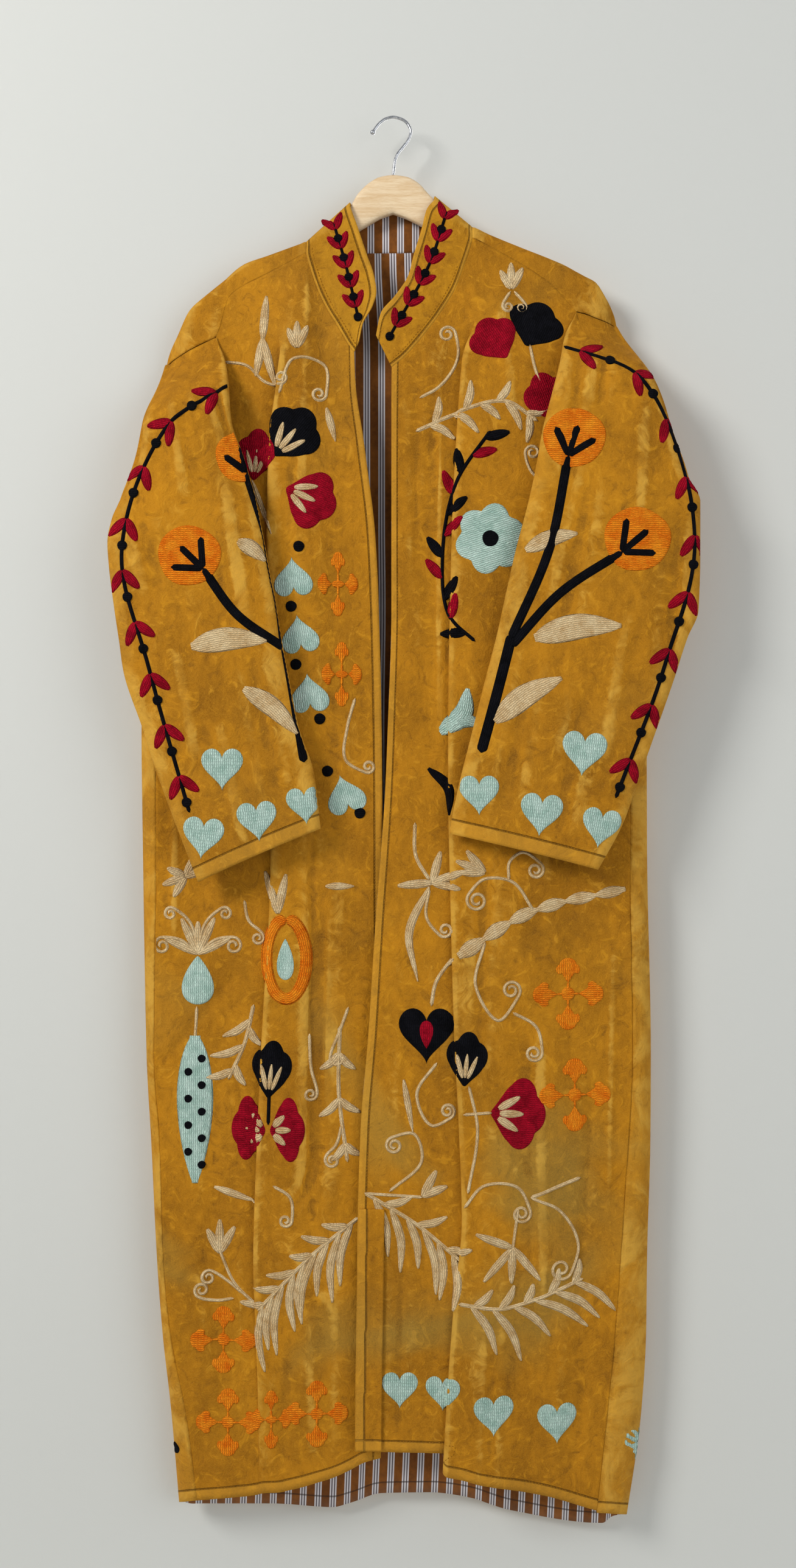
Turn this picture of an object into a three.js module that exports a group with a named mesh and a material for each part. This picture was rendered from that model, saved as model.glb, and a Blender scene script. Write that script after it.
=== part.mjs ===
// A long velvet kimono robe on a wooden hanger, hung by the hanger's wire hook.
// Millimetres. +X is the viewer's right, +Z is up, and the front faces -Y.
// The origin is the inner top of the hook, where a wall hook carries it.
import * as THREE from 'three';

// Cloth
const VELVET = 1.8; // wall of the velvet with its backing
const LINING = 1.0; // wall of the striped cotton lining
const SEAM = 0.3; // gap between neighbouring pieces
const BENEATH = -(VELVET / 2 + SEAM + LINING / 2); // lining's middle, below the velvet's
const DRAWN_IN = 0.3; // how far an edge stops short of its seam line
const SIDE_DRAWN_IN = 0.9; // the same where two edges meet at an angle
const LINING_DRAWN_IN = 5; // the same for a front lining at its side seam
const BEHIND_FOLD = 1.5; // how much further back a lining hangs behind a fold
const HEM_DEPTH = 6; // a front lining's edge above the velvet's hem
const CLOSER_AT_TOP = 1.15; // power that spaces a panel's rows, closer together near the top
const MITRE_LIMIT = 0.5; // least cosine that a wall's corner is widened by
const LYING_ON = VELVET + SEAM; // middle of velvet that lies on velvet

// Hanger
const WIRE_RADIUS = 1.5;
const BAR_HALF = 6; // half of the wooden bar's thickness
const BAR_CHAMFER = 3;
const BAR_UNDER_EDGE = 1.5; // chamfer along the bar's underside
const BAR_BELOW_RIDGE = 3.3; // bar's top below the cloth's ridge line

// Depths of the panels' middles
const FRONT_SIDE_Y = -18;
const BACK_Y = 12.5;
const SLEEVE_Y = -43;
const SLEEVE_HALF = 9; // half of the distance between a hanging sleeve's two walls

const COLOURS = {
  velvet: 0xb5801e,
  lining: 0x9a5f1c,
  wood: 0xe3c9a6,
  steel: 0xb9bcc0,
};

// ---- Tables and curves ----

const mix = (a, b, t) => a + (b - a) * t;
const clamp = (value) => Math.min(1, Math.max(0, value));
const smooth = (value) => clamp(value) ** 2 * (3 - 2 * clamp(value));
const bell = (value) => Math.exp(-value * value);

// A smooth curve through a table: each column as a function of the column `by`.
function lookUp(rows, by, value) {
  const sense = Math.sign(rows[rows.length - 1][by] - rows[0][by]);
  let i = 0;
  while (i < rows.length - 2 && sense * (value - rows[i + 1][by]) > 0) i += 1;
  const span = rows[i + 1][by] - rows[i][by];
  const t = clamp((value - rows[i][by]) / span);
  const slope = (j, name) => {
    const low = Math.max(0, j - 1);
    const high = Math.min(rows.length - 1, j + 1);
    return ((rows[high][name] - rows[low][name]) / (rows[high][by] - rows[low][by])) * span;
  };
  const found = {};
  for (const name of Object.keys(rows[i])) {
    const [a, b] = [rows[i][name], rows[i + 1][name]];
    const ease = t * t * (3 - 2 * t);
    const pull = t * (1 - t) * ((1 - t) * slope(i, name) - t * slope(i + 1, name));
    found[name] = name === by ? value : mix(a, b, ease) + pull;
  }
  return found;
}

// ---- Walls ----

// A closed wall of cloth round a grid of middle points, which may lack some (null). Rows
// and columns run so that (next column) x (next row) is its right side, unless `turned`.
function wall(grid, { thickness = VELVET, offset = 0, ring = false, turned = false }) {
  const rows = grid.length;
  const columns = grid[0].length;
  const column = (c) => (ring ? (c + columns) % columns : c);
  const point = (r, c) => grid[r]?.[column(c)] ?? null;
  const side = turned ? -1 : 1;
  const rightSide = (r, c, from, to) => {
    const here = point(r, c);
    const across = new THREE.Vector3().subVectors(point(r, to) ?? here, point(r, from) ?? here);
    const down = new THREE.Vector3()
      .subVectors(point(r + 1, c) ?? here, point(r - 1, c) ?? here);
    return across.cross(down).normalize();
  };
  const positions = [];
  const outerIndex = new Map();
  for (let r = 0; r < rows; r += 1) {
    for (let c = 0; c < columns; c += 1) {
      if (!point(r, c)) continue;
      const sides = [rightSide(r, c, c - 1, c), rightSide(r, c, c, c + 1)]
        .filter((vector) => vector.lengthSq() > 0);
      const normal = sides[0].clone().add(sides[sides.length - 1]).normalize();
      const mitre = side / Math.max(MITRE_LIMIT, normal.dot(sides[0]));
      outerIndex.set(`${r} ${c}`, positions.length / 3);
      for (const level of [offset + thickness / 2, offset - thickness / 2]) {
        const moved = point(r, c).clone().addScaledVector(normal, level * mitre);
        positions.push(moved.x, moved.y, moved.z);
      }
    }
  }
  const corner = (r, c) => outerIndex.get(`${r} ${column(c)}`);
  const isCell = (r, c) => [[r, c], [r, c + 1], [r + 1, c + 1], [r + 1, c]]
    .every(([i, j]) => point(i, j)) && (ring || (c >= 0 && c < columns - 1));
  const faces = [];
  const quad = (a, b, c, d) => {
    const corners = turned ? [a, d, c, b] : [a, b, c, d];
    faces.push(corners[0], corners[1], corners[2], corners[0], corners[2], corners[3]);
  };
  for (let r = 0; r < rows - 1; r += 1) {
    for (let c = 0; c < (ring ? columns : columns - 1); c += 1) {
      if (!isCell(r, c)) continue;
      const around = [corner(r, c), corner(r, c + 1), corner(r + 1, c + 1), corner(r + 1, c)];
      const [a, b, d, e] = around;
      quad(a, b, d, e);
      quad(a + 1, e + 1, d + 1, b + 1);
      if (!isCell(r - 1, c)) quad(b, a, a + 1, b + 1);
      if (!isCell(r, c + 1)) quad(d, b, b + 1, d + 1);
      if (!isCell(r + 1, c)) quad(e, d, d + 1, e + 1);
      if (!isCell(r, c - 1)) quad(a, e, e + 1, a + 1);
    }
  }
  const geometry = new THREE.BufferGeometry();
  geometry.setAttribute('position', new THREE.Float32BufferAttribute(positions, 3));
  geometry.setIndex(faces);
  geometry.computeVertexNormals();
  return geometry;
}

// The same grid with its edges drawn in, so that a seam's two sides stay apart.
function drawnIn(grid, { top = 0, left = 0, right = 0 }) {
  const rows = grid.map((line) => line.map((point) => point?.clone() ?? null));
  const last = grid[0].length - 1;
  const draw = (point, inner, by) => point?.add(inner.clone().sub(point).setLength(by));
  grid[0].forEach((_, c) => {
    const first = grid.findIndex((line) => line[c]);
    if (top) draw(rows[first][c], grid[first + 1][c], top);
  });
  if (left) rows.forEach((line) => draw(line[0], line[1], left));
  if (right) rows.forEach((line) => draw(line[last], line[last - 1], right));
  return rows;
}

const robe = new THREE.Group();

function addPiece(name, geometry, colour, roughness = 0.9, metalness = 0) {
  const mesh = new THREE.Mesh(
    geometry,
    new THREE.MeshStandardMaterial({ color: colour, roughness, metalness }),
  );
  mesh.name = name;
  robe.add(mesh);
}

// ---- Lines that several pieces share ----

// Top line of the cloth over the hanger, from the left shoulder point to the right one.
const RIDGE = [
  { x: -238, z: -253 },
  { x: -216.5, z: -206 },
  { x: -204.8, z: -194.4 },
  { x: -158.6, z: -156.7 },
  { x: -92, z: -132.5 },
  { x: -45, z: -90 },
  { x: 43.5, z: -83.4 },
  { x: 85, z: -117.7 },
  { x: 122, z: -133.3 },
  { x: 178, z: -155.4 },
  { x: 215, z: -175.6 },
  { x: 238.6, z: -212 },
];
const ridgeAt = (x) => {
  const i = Math.max(1, RIDGE.findIndex((row) => row.x >= x));
  const [a, b] = [RIDGE[i - 1], RIDGE[i]];
  return mix(a.z, b.z, (x - a.x) / (b.x - a.x));
};

// How cloth goes over the bar, from front to back: depth, and drop below the ridge line.
const OVER_BAR = [
  { y: -9, drop: 6.2 },
  { y: -5, drop: 1.7 },
  { y: 0, drop: 0.9 },
  { y: 5, drop: 1.7 },
  { y: 9, drop: 6.2 },
];

// Seams round the two armholes: over the top from the outside to the front, down the front
// edge to the underarm, and up the back edge to the outside again.
const ARMHOLES = {
  left: {
    top: [
      { x: -240, y: 3, z: -262 },
      { x: -229, y: -6, z: -257 },
      { x: -216, y: -9.5, z: -250 },
      { x: -201, y: -11.5, z: -243 },
      { x: -187, y: -13, z: -237 },
    ],
    front: [
      { x: -187, y: -13, z: -237 },
      { x: -204, y: -16, z: -290 },
      { x: -221, y: -17, z: -345 },
      { x: -238, y: -17.5, z: -400 },
      { x: -252, y: -18, z: -452 },
    ],
    back: [
      { x: -252, y: -18, z: -452 },
      { x: -259, y: -9, z: -447 },
      { x: -261, y: 2, z: -428 },
      { x: -259, y: 9, z: -385 },
      { x: -252, y: 10, z: -320 },
      { x: -240, y: 3, z: -262 },
    ],
  },
  right: {
    top: [
      { x: 236, y: 3, z: -221 },
      { x: 226, y: -6, z: -219 },
      { x: 215, y: -9.5, z: -216 },
      { x: 204, y: -11, z: -212 },
      { x: 194, y: -12, z: -210 },
    ],
    front: [
      { x: 194, y: -12, z: -210 },
      { x: 209, y: -15, z: -268 },
      { x: 225, y: -17, z: -330 },
      { x: 241, y: -17.5, z: -392 },
      { x: 254, y: -18, z: -452 },
    ],
    back: [
      { x: 254, y: -18, z: -452 },
      { x: 261, y: -9, z: -447 },
      { x: 263, y: 2, z: -428 },
      { x: 262, y: 9, z: -370 },
      { x: 252, y: 10, z: -290 },
      { x: 236, y: 3, z: -221 },
    ],
  },
};

// Shoulder seams, which lie forward of the ridge, from the armhole to just before the neck.
const SHOULDERS = {
  left: [
    { x: -175, y: -10.5, z: -196 },
    { x: -158, y: -10.5, z: -182 },
    { x: -145, y: -10.5, z: -175.5 },
    { x: -134, y: -10.5, z: -170 },
    { x: -124, y: -10.5, z: -164.5 },
    { x: -115, y: -10.5, z: -160 },
    { x: -107, y: -10.5, z: -155.5 },
    { x: -99, y: -10.5, z: -151 },
  ],
  right: [
    { x: 181, y: -11, z: -195 },
    { x: 168, y: -10.5, z: -181 },
    { x: 150, y: -10.5, z: -168.5 },
    { x: 139, y: -10.5, z: -161 },
    { x: 129, y: -10.5, z: -155 },
    { x: 119, y: -10.5, z: -149.5 },
    { x: 110, y: -10.5, z: -144.5 },
    { x: 101, y: -10.5, z: -139.5 },
    { x: 92, y: -10.5, z: -135.5 },
  ],
};

// The neck seam (x, y, z) and the collar's free edge (freeX, freeY, freeZ), from each front
// edge up to the shoulder, and across the back of the neck.
const NECK = {
  left: [
    { x: -41, y: -15.5, z: -254, freeX: -36, freeY: -17, freeZ: -243 },
    { x: -47, y: -15, z: -246, freeX: -32, freeY: -18, freeZ: -225 },
    { x: -59, y: -15, z: -226, freeX: -21.5, freeY: -19, freeZ: -206 },
    { x: -71, y: -14, z: -206, freeX: -17.5, freeY: -19, freeZ: -191 },
    { x: -80, y: -13, z: -187, freeX: -20.5, freeY: -17, freeZ: -172 },
    { x: -87, y: -12, z: -167, freeX: -28, freeY: -15, freeZ: -150 },
    { x: -92, y: -10.5, z: -147.5, freeX: -37, freeY: -12, freeZ: -122 },
  ],
  back: [
    { x: -84, y: 10.5, z: -140, freeX: -51, freeY: 10.5, freeZ: -90 },
    { x: -60, y: 12, z: -140, freeX: -44, freeY: 12.5, freeZ: -87 },
    { x: -30, y: 12.5, z: -140, freeX: -26, freeY: 13, freeZ: -86 },
    { x: 0, y: 12.5, z: -140, freeX: 0, freeY: 13, freeZ: -86 },
    { x: 30, y: 12.5, z: -139, freeX: 25, freeY: 13, freeZ: -85 },
    { x: 58, y: 12, z: -136, freeX: 43, freeY: 12.5, freeZ: -84 },
    { x: 77, y: 10.5, z: -132, freeX: 49, freeY: 10.5, freeZ: -86 },
  ],
  right: [
    { x: 84, y: -10.5, z: -131.5, freeX: 36, freeY: -12, freeZ: -101 },
    { x: 75, y: -12, z: -162, freeX: 29.5, freeY: -14, freeZ: -125.5 },
    { x: 66, y: -13, z: -186, freeX: 22, freeY: -16, freeZ: -150.5 },
    { x: 49, y: -14, z: -214, freeX: 16, freeY: -17, freeZ: -173.5 },
    { x: 30, y: -15, z: -239, freeX: 1.5, freeY: -16.5, freeZ: -195.5 },
    { x: 11, y: -15, z: -260, freeX: -13, freeY: -15.5, freeZ: -213 },
    { x: -1.5, y: -15, z: -270, freeX: -18, freeY: -14, freeZ: -236 },
  ],
};

// Where the neck seam and the collar's free edge go over the bar.
const overBarRows = (x, freeX) => OVER_BAR.map(({ y, drop }) => ({
  x, y, z: ridgeAt(x) - drop, freeX, freeY: y, freeZ: ridgeAt(freeX) - drop, drop,
}));
const neckOverLeft = overBarRows(-91.4, -45.5);
const neckOverRight = overBarRows(83.4, 44).reverse();
const reversed = (rows) => [...rows].reverse();
// The first row, then every second one.
const thinned = (rows) => rows.filter((_, i) => i === 0 || i % 2 === 1);

// Outline of the robe's body at each height: its side seams, on the front, and its sides.
const BODY = [
  { z: -440, seamLeft: -252, left: -259, right: 263, seamRight: 254 },
  { z: -526, seamLeft: -251.5, left: -262, right: 267, seamRight: 252 },
  { z: -654, seamLeft: -250, left: -267.5, right: 269.5, seamRight: 250 },
  { z: -782, seamLeft: -250, left: -266, right: 270, seamRight: 250 },
  { z: -998, seamLeft: -252, left: -262, right: 274, seamRight: 253 },
  { z: -1092, seamLeft: -246, left: -257, right: 273.5, seamRight: 248 },
  { z: -1214, seamLeft: -242, left: -251, right: 270, seamRight: 240 },
  { z: -1295, seamLeft: -234, left: -245, right: 269, seamRight: 234 },
  { z: -1377, seamLeft: -218, left: -236, right: 264, seamRight: 226 },
  { z: -1505, seamLeft: -202, left: -225, right: 246, seamRight: 212 },
];

// ---- Front panels ----

// Places of each front's own upright lines at each height: its free edge and its long fold.
// `folded` is 1 where the cloth laps over itself at the fold and 0 where it lies open, and
// `deep` and `top` are the depths of the cloth left and right of the fold.
const LEFT_FRONT = [
  { z: -150, fold: -112, right: -39, folded: 0, deep: -13, top: -15 },
  { z: -215, fold: -116, right: -39, folded: 0, deep: -14.5, top: -22 },
  { z: -290, fold: -122, right: -37.5, folded: 1, deep: -16, top: -25 },
  { z: -347, fold: -129, right: -31, folded: 1, deep: -17, top: -26 },
  { z: -452, fold: -132, right: -18.5, folded: 1, deep: -17, top: -26 },
  { z: -526, fold: -132, right: -15, folded: 1, deep: -17, top: -26 },
  { z: -654, fold: -130, right: -12, folded: 1, deep: -17, top: -26 },
  { z: -782, fold: -127.5, right: -11, folded: 1, deep: -17, top: -26 },
  { z: -998, fold: -138, right: -10, folded: 1, deep: -17, top: -26 },
  { z: -1092, fold: -142, right: -10, folded: 1, deep: -17, top: -26 },
  { z: -1214, fold: -146, right: -10, folded: 0.9, deep: -18, top: -26 },
  { z: -1295, fold: -144, right: -11, folded: 0.7, deep: -19, top: -25 },
  { z: -1377, fold: -142, right: -12, folded: 0.4, deep: -20, top: -24 },
  { z: -1466, fold: -140, right: -14, folded: 0.2, deep: -21, top: -23 },
];
const RIGHT_FRONT = [
  { z: -130, left: -1.5, fold: 90, folded: 0, deep: -12, top: -14 },
  { z: -190, left: -1.5, fold: 82, folded: 0, deep: -14, top: -22 },
  { z: -262, left: -1.5, fold: 74, folded: 1, deep: -17, top: -25.5 },
  { z: -296, left: -1.8, fold: 71, folded: 1, deep: -17, top: -26 },
  { z: -430, left: -1.8, fold: 63.5, folded: 1, deep: -17, top: -26 },
  { z: -526, left: -1.8, fold: 61, folded: 1, deep: -17, top: -26 },
  { z: -654, left: -5.7, fold: 59, folded: 1, deep: -20, top: -28 },
  { z: -712, left: -8, fold: 59, folded: 1, deep: -21, top: -28 },
  { z: -782, left: -12.7, fold: 60, folded: 1, deep: -25.5, top: -31.5 },
  { z: -850, left: -18, fold: 61.5, folded: 1, deep: -28.5, top: -36 },
  { z: -974, left: -26, fold: 65, folded: 1, deep: -29.5, top: -37 },
  { z: -1072, left: -34, fold: 70, folded: 1, deep: -29.5, top: -37 },
  { z: -1166, left: -37, fold: 73, folded: 1, deep: -29.5, top: -37 },
  { z: -1250, left: -38, fold: 65, folded: 1, deep: -29.5, top: -37 },
  { z: -1359, left: -39.6, fold: 57, folded: 1, deep: -29.5, top: -37 },
  { z: -1490, left: -40.3, fold: 50, folded: 1, deep: -29.5, top: -37 },
];

// The long fold in section: how far each line of cloth lies from the fold's edge where the
// cloth lies open and where it laps over, and its share of the rise from deep to top.
const LAP = [
  { open: -14, lapped: -14, openRise: 0, rise: 0 },
  { open: -9, lapped: 5, openRise: 0.1, rise: 0 },
  { open: -6, lapped: 11, openRise: 0.25, rise: 0.16 },
  { open: -3, lapped: 9.5, openRise: 0.4, rise: 0.42 },
  { open: 0, lapped: 2.5, openRise: 0.6, rise: 0.56 },
  { open: 3, lapped: -0.5, openRise: 0.75, rise: 0.78 },
  { open: 7, lapped: 2.5, openRise: 0.9, rise: 1 },
  { open: 20, lapped: 20, openRise: 1, rise: 1 },
];

// Soft troughs (depth above 0, away from the viewer) and ridges (below 0) in the fronts.
const LEFT_TROUGHS = [
  { from: -770, to: -1200, xFrom: -77, xTo: -79, width: 9, depth: 4 },
  { from: -300, to: -760, xFrom: -62, xTo: -60, width: 14, depth: 1.5 },
  { from: -470, to: -900, xFrom: -213, xTo: -208, width: 16, depth: 2 },
  { from: -960, to: -1400, xFrom: -190, xTo: -176, width: 13, depth: 2.5 },
  { from: -1180, to: -1440, xFrom: -58, xTo: -70, width: 15, depth: -2 },
];
const RIGHT_TROUGHS = [
  { from: -260, to: -760, xFrom: 37, xTo: 44, width: 12, depth: 2.5 },
  { from: -820, to: -1300, xFrom: 22, xTo: 26, width: 14, depth: 1.5 },
  { from: -500, to: -1050, xFrom: 190, xTo: 182, width: 18, depth: 2.5 },
  { from: -900, to: -1460, xFrom: 132, xTo: 126, width: 18, depth: 3 },
  { from: -1120, to: -1470, xFrom: 176, xTo: 170, width: 12, depth: -2.5 },
];

function troughDepth(troughs, x, z) {
  let depth = 0;
  for (const trough of troughs) {
    const t = (z - trough.from) / (trough.to - trough.from);
    const ends = smooth(t * 5) * smooth((1 - t) * 5);
    const centre = mix(trough.xFrom, trough.xTo, clamp(t));
    depth += trough.depth * ends * bell((x - centre) / trough.width);
  }
  return depth;
}

// One level line across a front, from its left edge to its right edge.
// `before` and `after` are shares of the way to and from the fold, and `leftY` and `rightY`
// are the depths of its edges, where they differ from the fold's.
function frontLine(rows, shares, troughs, z) {
  const body = lookUp(BODY, 'z', z);
  const at = { left: body.seamLeft, right: body.seamRight, ...lookUp(rows, 'z', z) };
  const line = [];
  for (const share of shares.before) {
    const x = mix(at.left, at.fold + LAP[0].open, share);
    line.push({ x, y: mix(at.edge ?? shares.leftY ?? at.deep, at.deep, share) });
  }
  for (const step of LAP) {
    const x = at.fold + mix(step.open, step.lapped, at.folded);
    line.push({ x, y: mix(at.deep, at.top, mix(step.openRise, step.rise, at.folded)) });
  }
  for (const share of shares.after) {
    const x = mix(at.fold + LAP[LAP.length - 1].open, at.right, share);
    line.push({ x, y: mix(at.top, shares.rightY, smooth(share)) });
  }
  for (const point of line) point.y += troughDepth(troughs, point.x, z);
  return line;
}

const LEFT_SHARES = {
  before: [0, 0.22, 0.44, 0.66, 0.84],
  after: [0.1, 0.22, 0.36, 0.52, 0.68, 0.84, 1],
  leftY: FRONT_SIDE_Y,
  rightY: -19,
};
const RIGHT_SHARES = {
  before: [0, 0.17, 0.36, 0.55, 0.75, 0.9],
  after: [0.14, 0.3, 0.46, 0.62, 0.75, 0.88, 1],
  rightY: FRONT_SIDE_Y,
};

// Heights of the hems across the fronts.
const LEFT_HEM = [
  { x: -252, z: -1466 },
  { x: -158, z: -1459 },
  { x: -99, z: -1455 },
  { x: -80, z: -1446 },
  { x: -59, z: -1434 },
  { x: -41, z: -1421 },
];
const RIGHT_HEM = [
  { x: -1.5, z: -1409 },
  { x: 92, z: -1411 },
  { x: 119, z: -1425 },
  { x: 168, z: -1442 },
  { x: 254, z: -1477 },
];

// Where each upright line of a front starts, from left to right.
const leftTops = [
  ...reversed(ARMHOLES.left.front),
  ...SHOULDERS.left,
  ...reversed(NECK.left),
];
const rightTops = [
  ...reversed(NECK.right),
  ...reversed(SHOULDERS.right),
  ...ARMHOLES.right.front,
];

// A front's grid of middle points. Near the top, the upright lines run to their own starts.
const SETTLE = 110; // below a line's start, how far it takes to join the level lines
const FRONT_STEPS = 14;
const BACK_STEPS = 12;

function frontGrid({ rows, shares, troughs, tops, hem }, steps, hemLift = 0) {
  const grid = [];
  for (let r = 0; r <= steps; r += 1) {
    grid.push(tops.map((top, c) => {
      const z = mix(top.z, lookUp(hem, 'x', top.x).z + hemLift, (r / steps) ** CLOSER_AT_TOP);
      const start = frontLine(rows, shares, troughs, top.z)[c];
      const point = frontLine(rows, shares, troughs, z)[c];
      const stay = 1 - smooth((top.z - z) / SETTLE);
      const x = point.x + (top.x - start.x) * stay;
      return new THREE.Vector3(x, point.y + (top.y - start.y) * stay, z);
    }));
  }
  return grid;
}

const FRONTS = {
  left: { rows: LEFT_FRONT, shares: LEFT_SHARES, troughs: LEFT_TROUGHS, tops: leftTops, hem: LEFT_HEM },
  right: {
    rows: RIGHT_FRONT, shares: RIGHT_SHARES, troughs: RIGHT_TROUGHS, tops: rightTops, hem: RIGHT_HEM,
  },
};
for (const [side, front] of Object.entries(FRONTS)) {
  const sideEdge = side === 'left' ? { left: SIDE_DRAWN_IN } : { right: SIDE_DRAWN_IN };
  const velvet = drawnIn(frontGrid(front, FRONT_STEPS), { top: DRAWN_IN, ...sideEdge });
  addPiece(`front_${side}`, wall(velvet, { turned: true }), COLOURS.velvet);

  // The lining hangs straight behind the fold, so its lines there are not lapped.
  const plain = front.rows.map((row) => ({
    ...row,
    folded: 0,
    edge: front.shares.leftY ?? row.deep,
    deep: row.deep + BEHIND_FOLD,
    top: row.deep + BEHIND_FOLD,
  }));
  const insideSeam = side === 'left' ? { left: LINING_DRAWN_IN } : { right: LINING_DRAWN_IN };
  const lining = drawnIn(frontGrid({ ...front, rows: plain }, FRONT_STEPS, HEM_DEPTH), insideSeam);
  addPiece(
    `front_${side}_lining`,
    wall(lining, { thickness: LINING, offset: BENEATH, turned: true }),
    COLOURS.lining,
  );
}

// The tuck on the lower right front: a strip along its free edge, laid over the panel.
const TUCK = { top: -1155, bottom: -1408, width: 28, steps: 8 };
const tuckGrid = [];
for (let r = 0; r <= TUCK.steps; r += 1) {
  const z = mix(TUCK.top, TUCK.bottom, r / TUCK.steps);
  const line = frontLine(RIGHT_FRONT, RIGHT_SHARES, RIGHT_TROUGHS, z);
  const { left } = lookUp(RIGHT_FRONT, 'z', z);
  tuckGrid.push([0, 0.33, 0.67, 1].map((share) => {
    const x = left + share * TUCK.width;
    const i = line.findIndex((point) => point.x > x);
    const [a, b] = [line[i - 1], line[i]];
    return new THREE.Vector3(x, mix(a.y, b.y, (x - a.x) / (b.x - a.x)) - LYING_ON - SEAM, z);
  }));
}
addPiece('front_right_tuck', wall(tuckGrid, { turned: true }), COLOURS.velvet);

// ---- Back panel ----

const BACK_HEM = [
  { x: -252, z: -1480 },
  { x: -158, z: -1484 },
  { x: -84, z: -1488 },
  { x: -30, z: -1473 },
  { x: 30, z: -1472 },
  { x: 77, z: -1478 },
  { x: 119, z: -1490 },
  { x: 236, z: -1505 },
  { x: 254, z: -1500 },
];
const BACK_TROUGHS = [
  { from: -420, to: -1420, xFrom: -150, xTo: -165, width: 22, depth: 3 },
  { from: -300, to: -1460, xFrom: -62, xTo: -58, width: 18, depth: -2 },
  { from: -360, to: -1470, xFrom: 48, xTo: 62, width: 20, depth: 3 },
  { from: -480, to: -1400, xFrom: 150, xTo: 171, width: 24, depth: -2 },
];

// A side of the back in section, where it comes round to its seam on the front: the share
// of the way from the side back to the seam, the distance in from the side, and the depth.
const ROUND_SIDE = [
  { toSeam: 1, inward: 0, y: FRONT_SIDE_Y },
  { toSeam: 0.45, inward: 0, y: -14.5 },
  { toSeam: 0, inward: 0, y: -2 },
  { toSeam: 0, inward: 3, y: 8 },
  { toSeam: 0, inward: 12, y: 12 },
];

const backTops = [
  ...ARMHOLES.left.back,
  ...ARMHOLES.left.top.slice(1),
  ...thinned(SHOULDERS.left),
  NECK.left[NECK.left.length - 1],
  ...NECK.back,
  NECK.right[0],
  ...reversed(thinned(SHOULDERS.right)),
  ...reversed(ARMHOLES.right.top),
  ...reversed(ARMHOLES.right.back).slice(1),
];

const FLAT_FROM = 21; // distance from a side to where the back hangs flat

// One level line round the back, from its left seam on the front to its right one.
function backLine(z) {
  const at = lookUp(BODY, 'z', z);
  const round = (step, side, seam, inwards) => ({
    x: mix(side + inwards * step.inward, seam, step.toSeam), y: step.y,
  });
  const middle = backTops.slice(ROUND_SIDE.length, -ROUND_SIDE.length).map((top) => {
    const [start, end] = [ARMHOLES.left.top[0].x, ARMHOLES.right.top[0].x];
    const share = (top.x - start) / (end - start);
    const x = mix(at.left + FLAT_FROM, at.right - FLAT_FROM, share);
    return { x, y: BACK_Y + troughDepth(BACK_TROUGHS, x, z) };
  });
  return [
    ...ROUND_SIDE.map((step) => round(step, at.left, at.seamLeft, 1)),
    ...middle,
    ...reversed(ROUND_SIDE).map((step) => round(step, at.right, at.seamRight, -1)),
  ];
}

// The first stretch of an upright line of the back, down to where the level lines begin:
// over the bar if it starts on the shoulder, and nothing but its own start if it doesn't.
const OVER_POINTS = OVER_BAR.length + 2;
const BEHIND_BAR = { y: 8, z: -400 }; // a line that starts past either one isn't over the bar
const NEAR_START = 0.3; // a point of OVER_BAR no further back than this is left out
const FOOT = { forward: 1.5, drop: 4 }; // where the level lines begin, from BACK_Y and the bar
function startOfBackLine(top) {
  const start = new THREE.Vector3(top.x, top.y, top.z);
  const isBehind = top.y > BEHIND_BAR.y || top.z < BEHIND_BAR.z;
  if (isBehind) return [...Array(OVER_POINTS - 1).fill(null), start];
  const points = [start];
  for (const { y, drop } of OVER_BAR) {
    if (y <= top.y + NEAR_START) continue;
    points.push(new THREE.Vector3(top.x, y, ridgeAt(top.x) - drop));
  }
  const last = points[points.length - 1];
  const foot = new THREE.Vector3(last.x, BACK_Y - FOOT.forward, last.z - FOOT.drop);
  const extra = OVER_POINTS - points.length;
  for (let i = 1; i <= extra; i += 1) points.push(last.clone().lerp(foot, i / extra));
  return points;
}

function backGrid(steps) {
  const columns = backTops.map((top, c) => {
    const points = startOfBackLine(top);
    const foot = points[points.length - 1];
    const start = backLine(foot.z)[c];
    const hem = lookUp(BACK_HEM, 'x', top.x).z;
    for (let r = 1; r <= steps; r += 1) {
      const z = mix(foot.z, hem, (r / steps) ** CLOSER_AT_TOP);
      const stay = 1 - smooth((foot.z - z) / SETTLE);
      const point = backLine(z)[c];
      const x = point.x + (foot.x - start.x) * stay;
      points.push(new THREE.Vector3(x, point.y + (foot.y - start.y) * stay, z));
    }
    return points;
  });
  return columns[0].map((_, r) => columns.map((column) => column[r]));
}
const backSides = { left: SIDE_DRAWN_IN, right: SIDE_DRAWN_IN };
const back = drawnIn(backGrid(BACK_STEPS), { top: DRAWN_IN, ...backSides });
addPiece('back', wall(back, {}), COLOURS.velvet);
const backLining = drawnIn(back.slice(OVER_POINTS - 1), { top: LINING_DRAWN_IN });
addPiece('back_lining', wall(backLining, { thickness: LINING, offset: BENEATH }), COLOURS.lining);

// ---- Collar ----

// Rows of the neck seam and the collar's free edge, from the left tip to the right end.
const collarRows = [
  ...NECK.left,
  ...neckOverLeft,
  ...NECK.back,
  ...neckOverRight,
  ...NECK.right,
];
const COLLAR_STEPS = 5;

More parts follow.
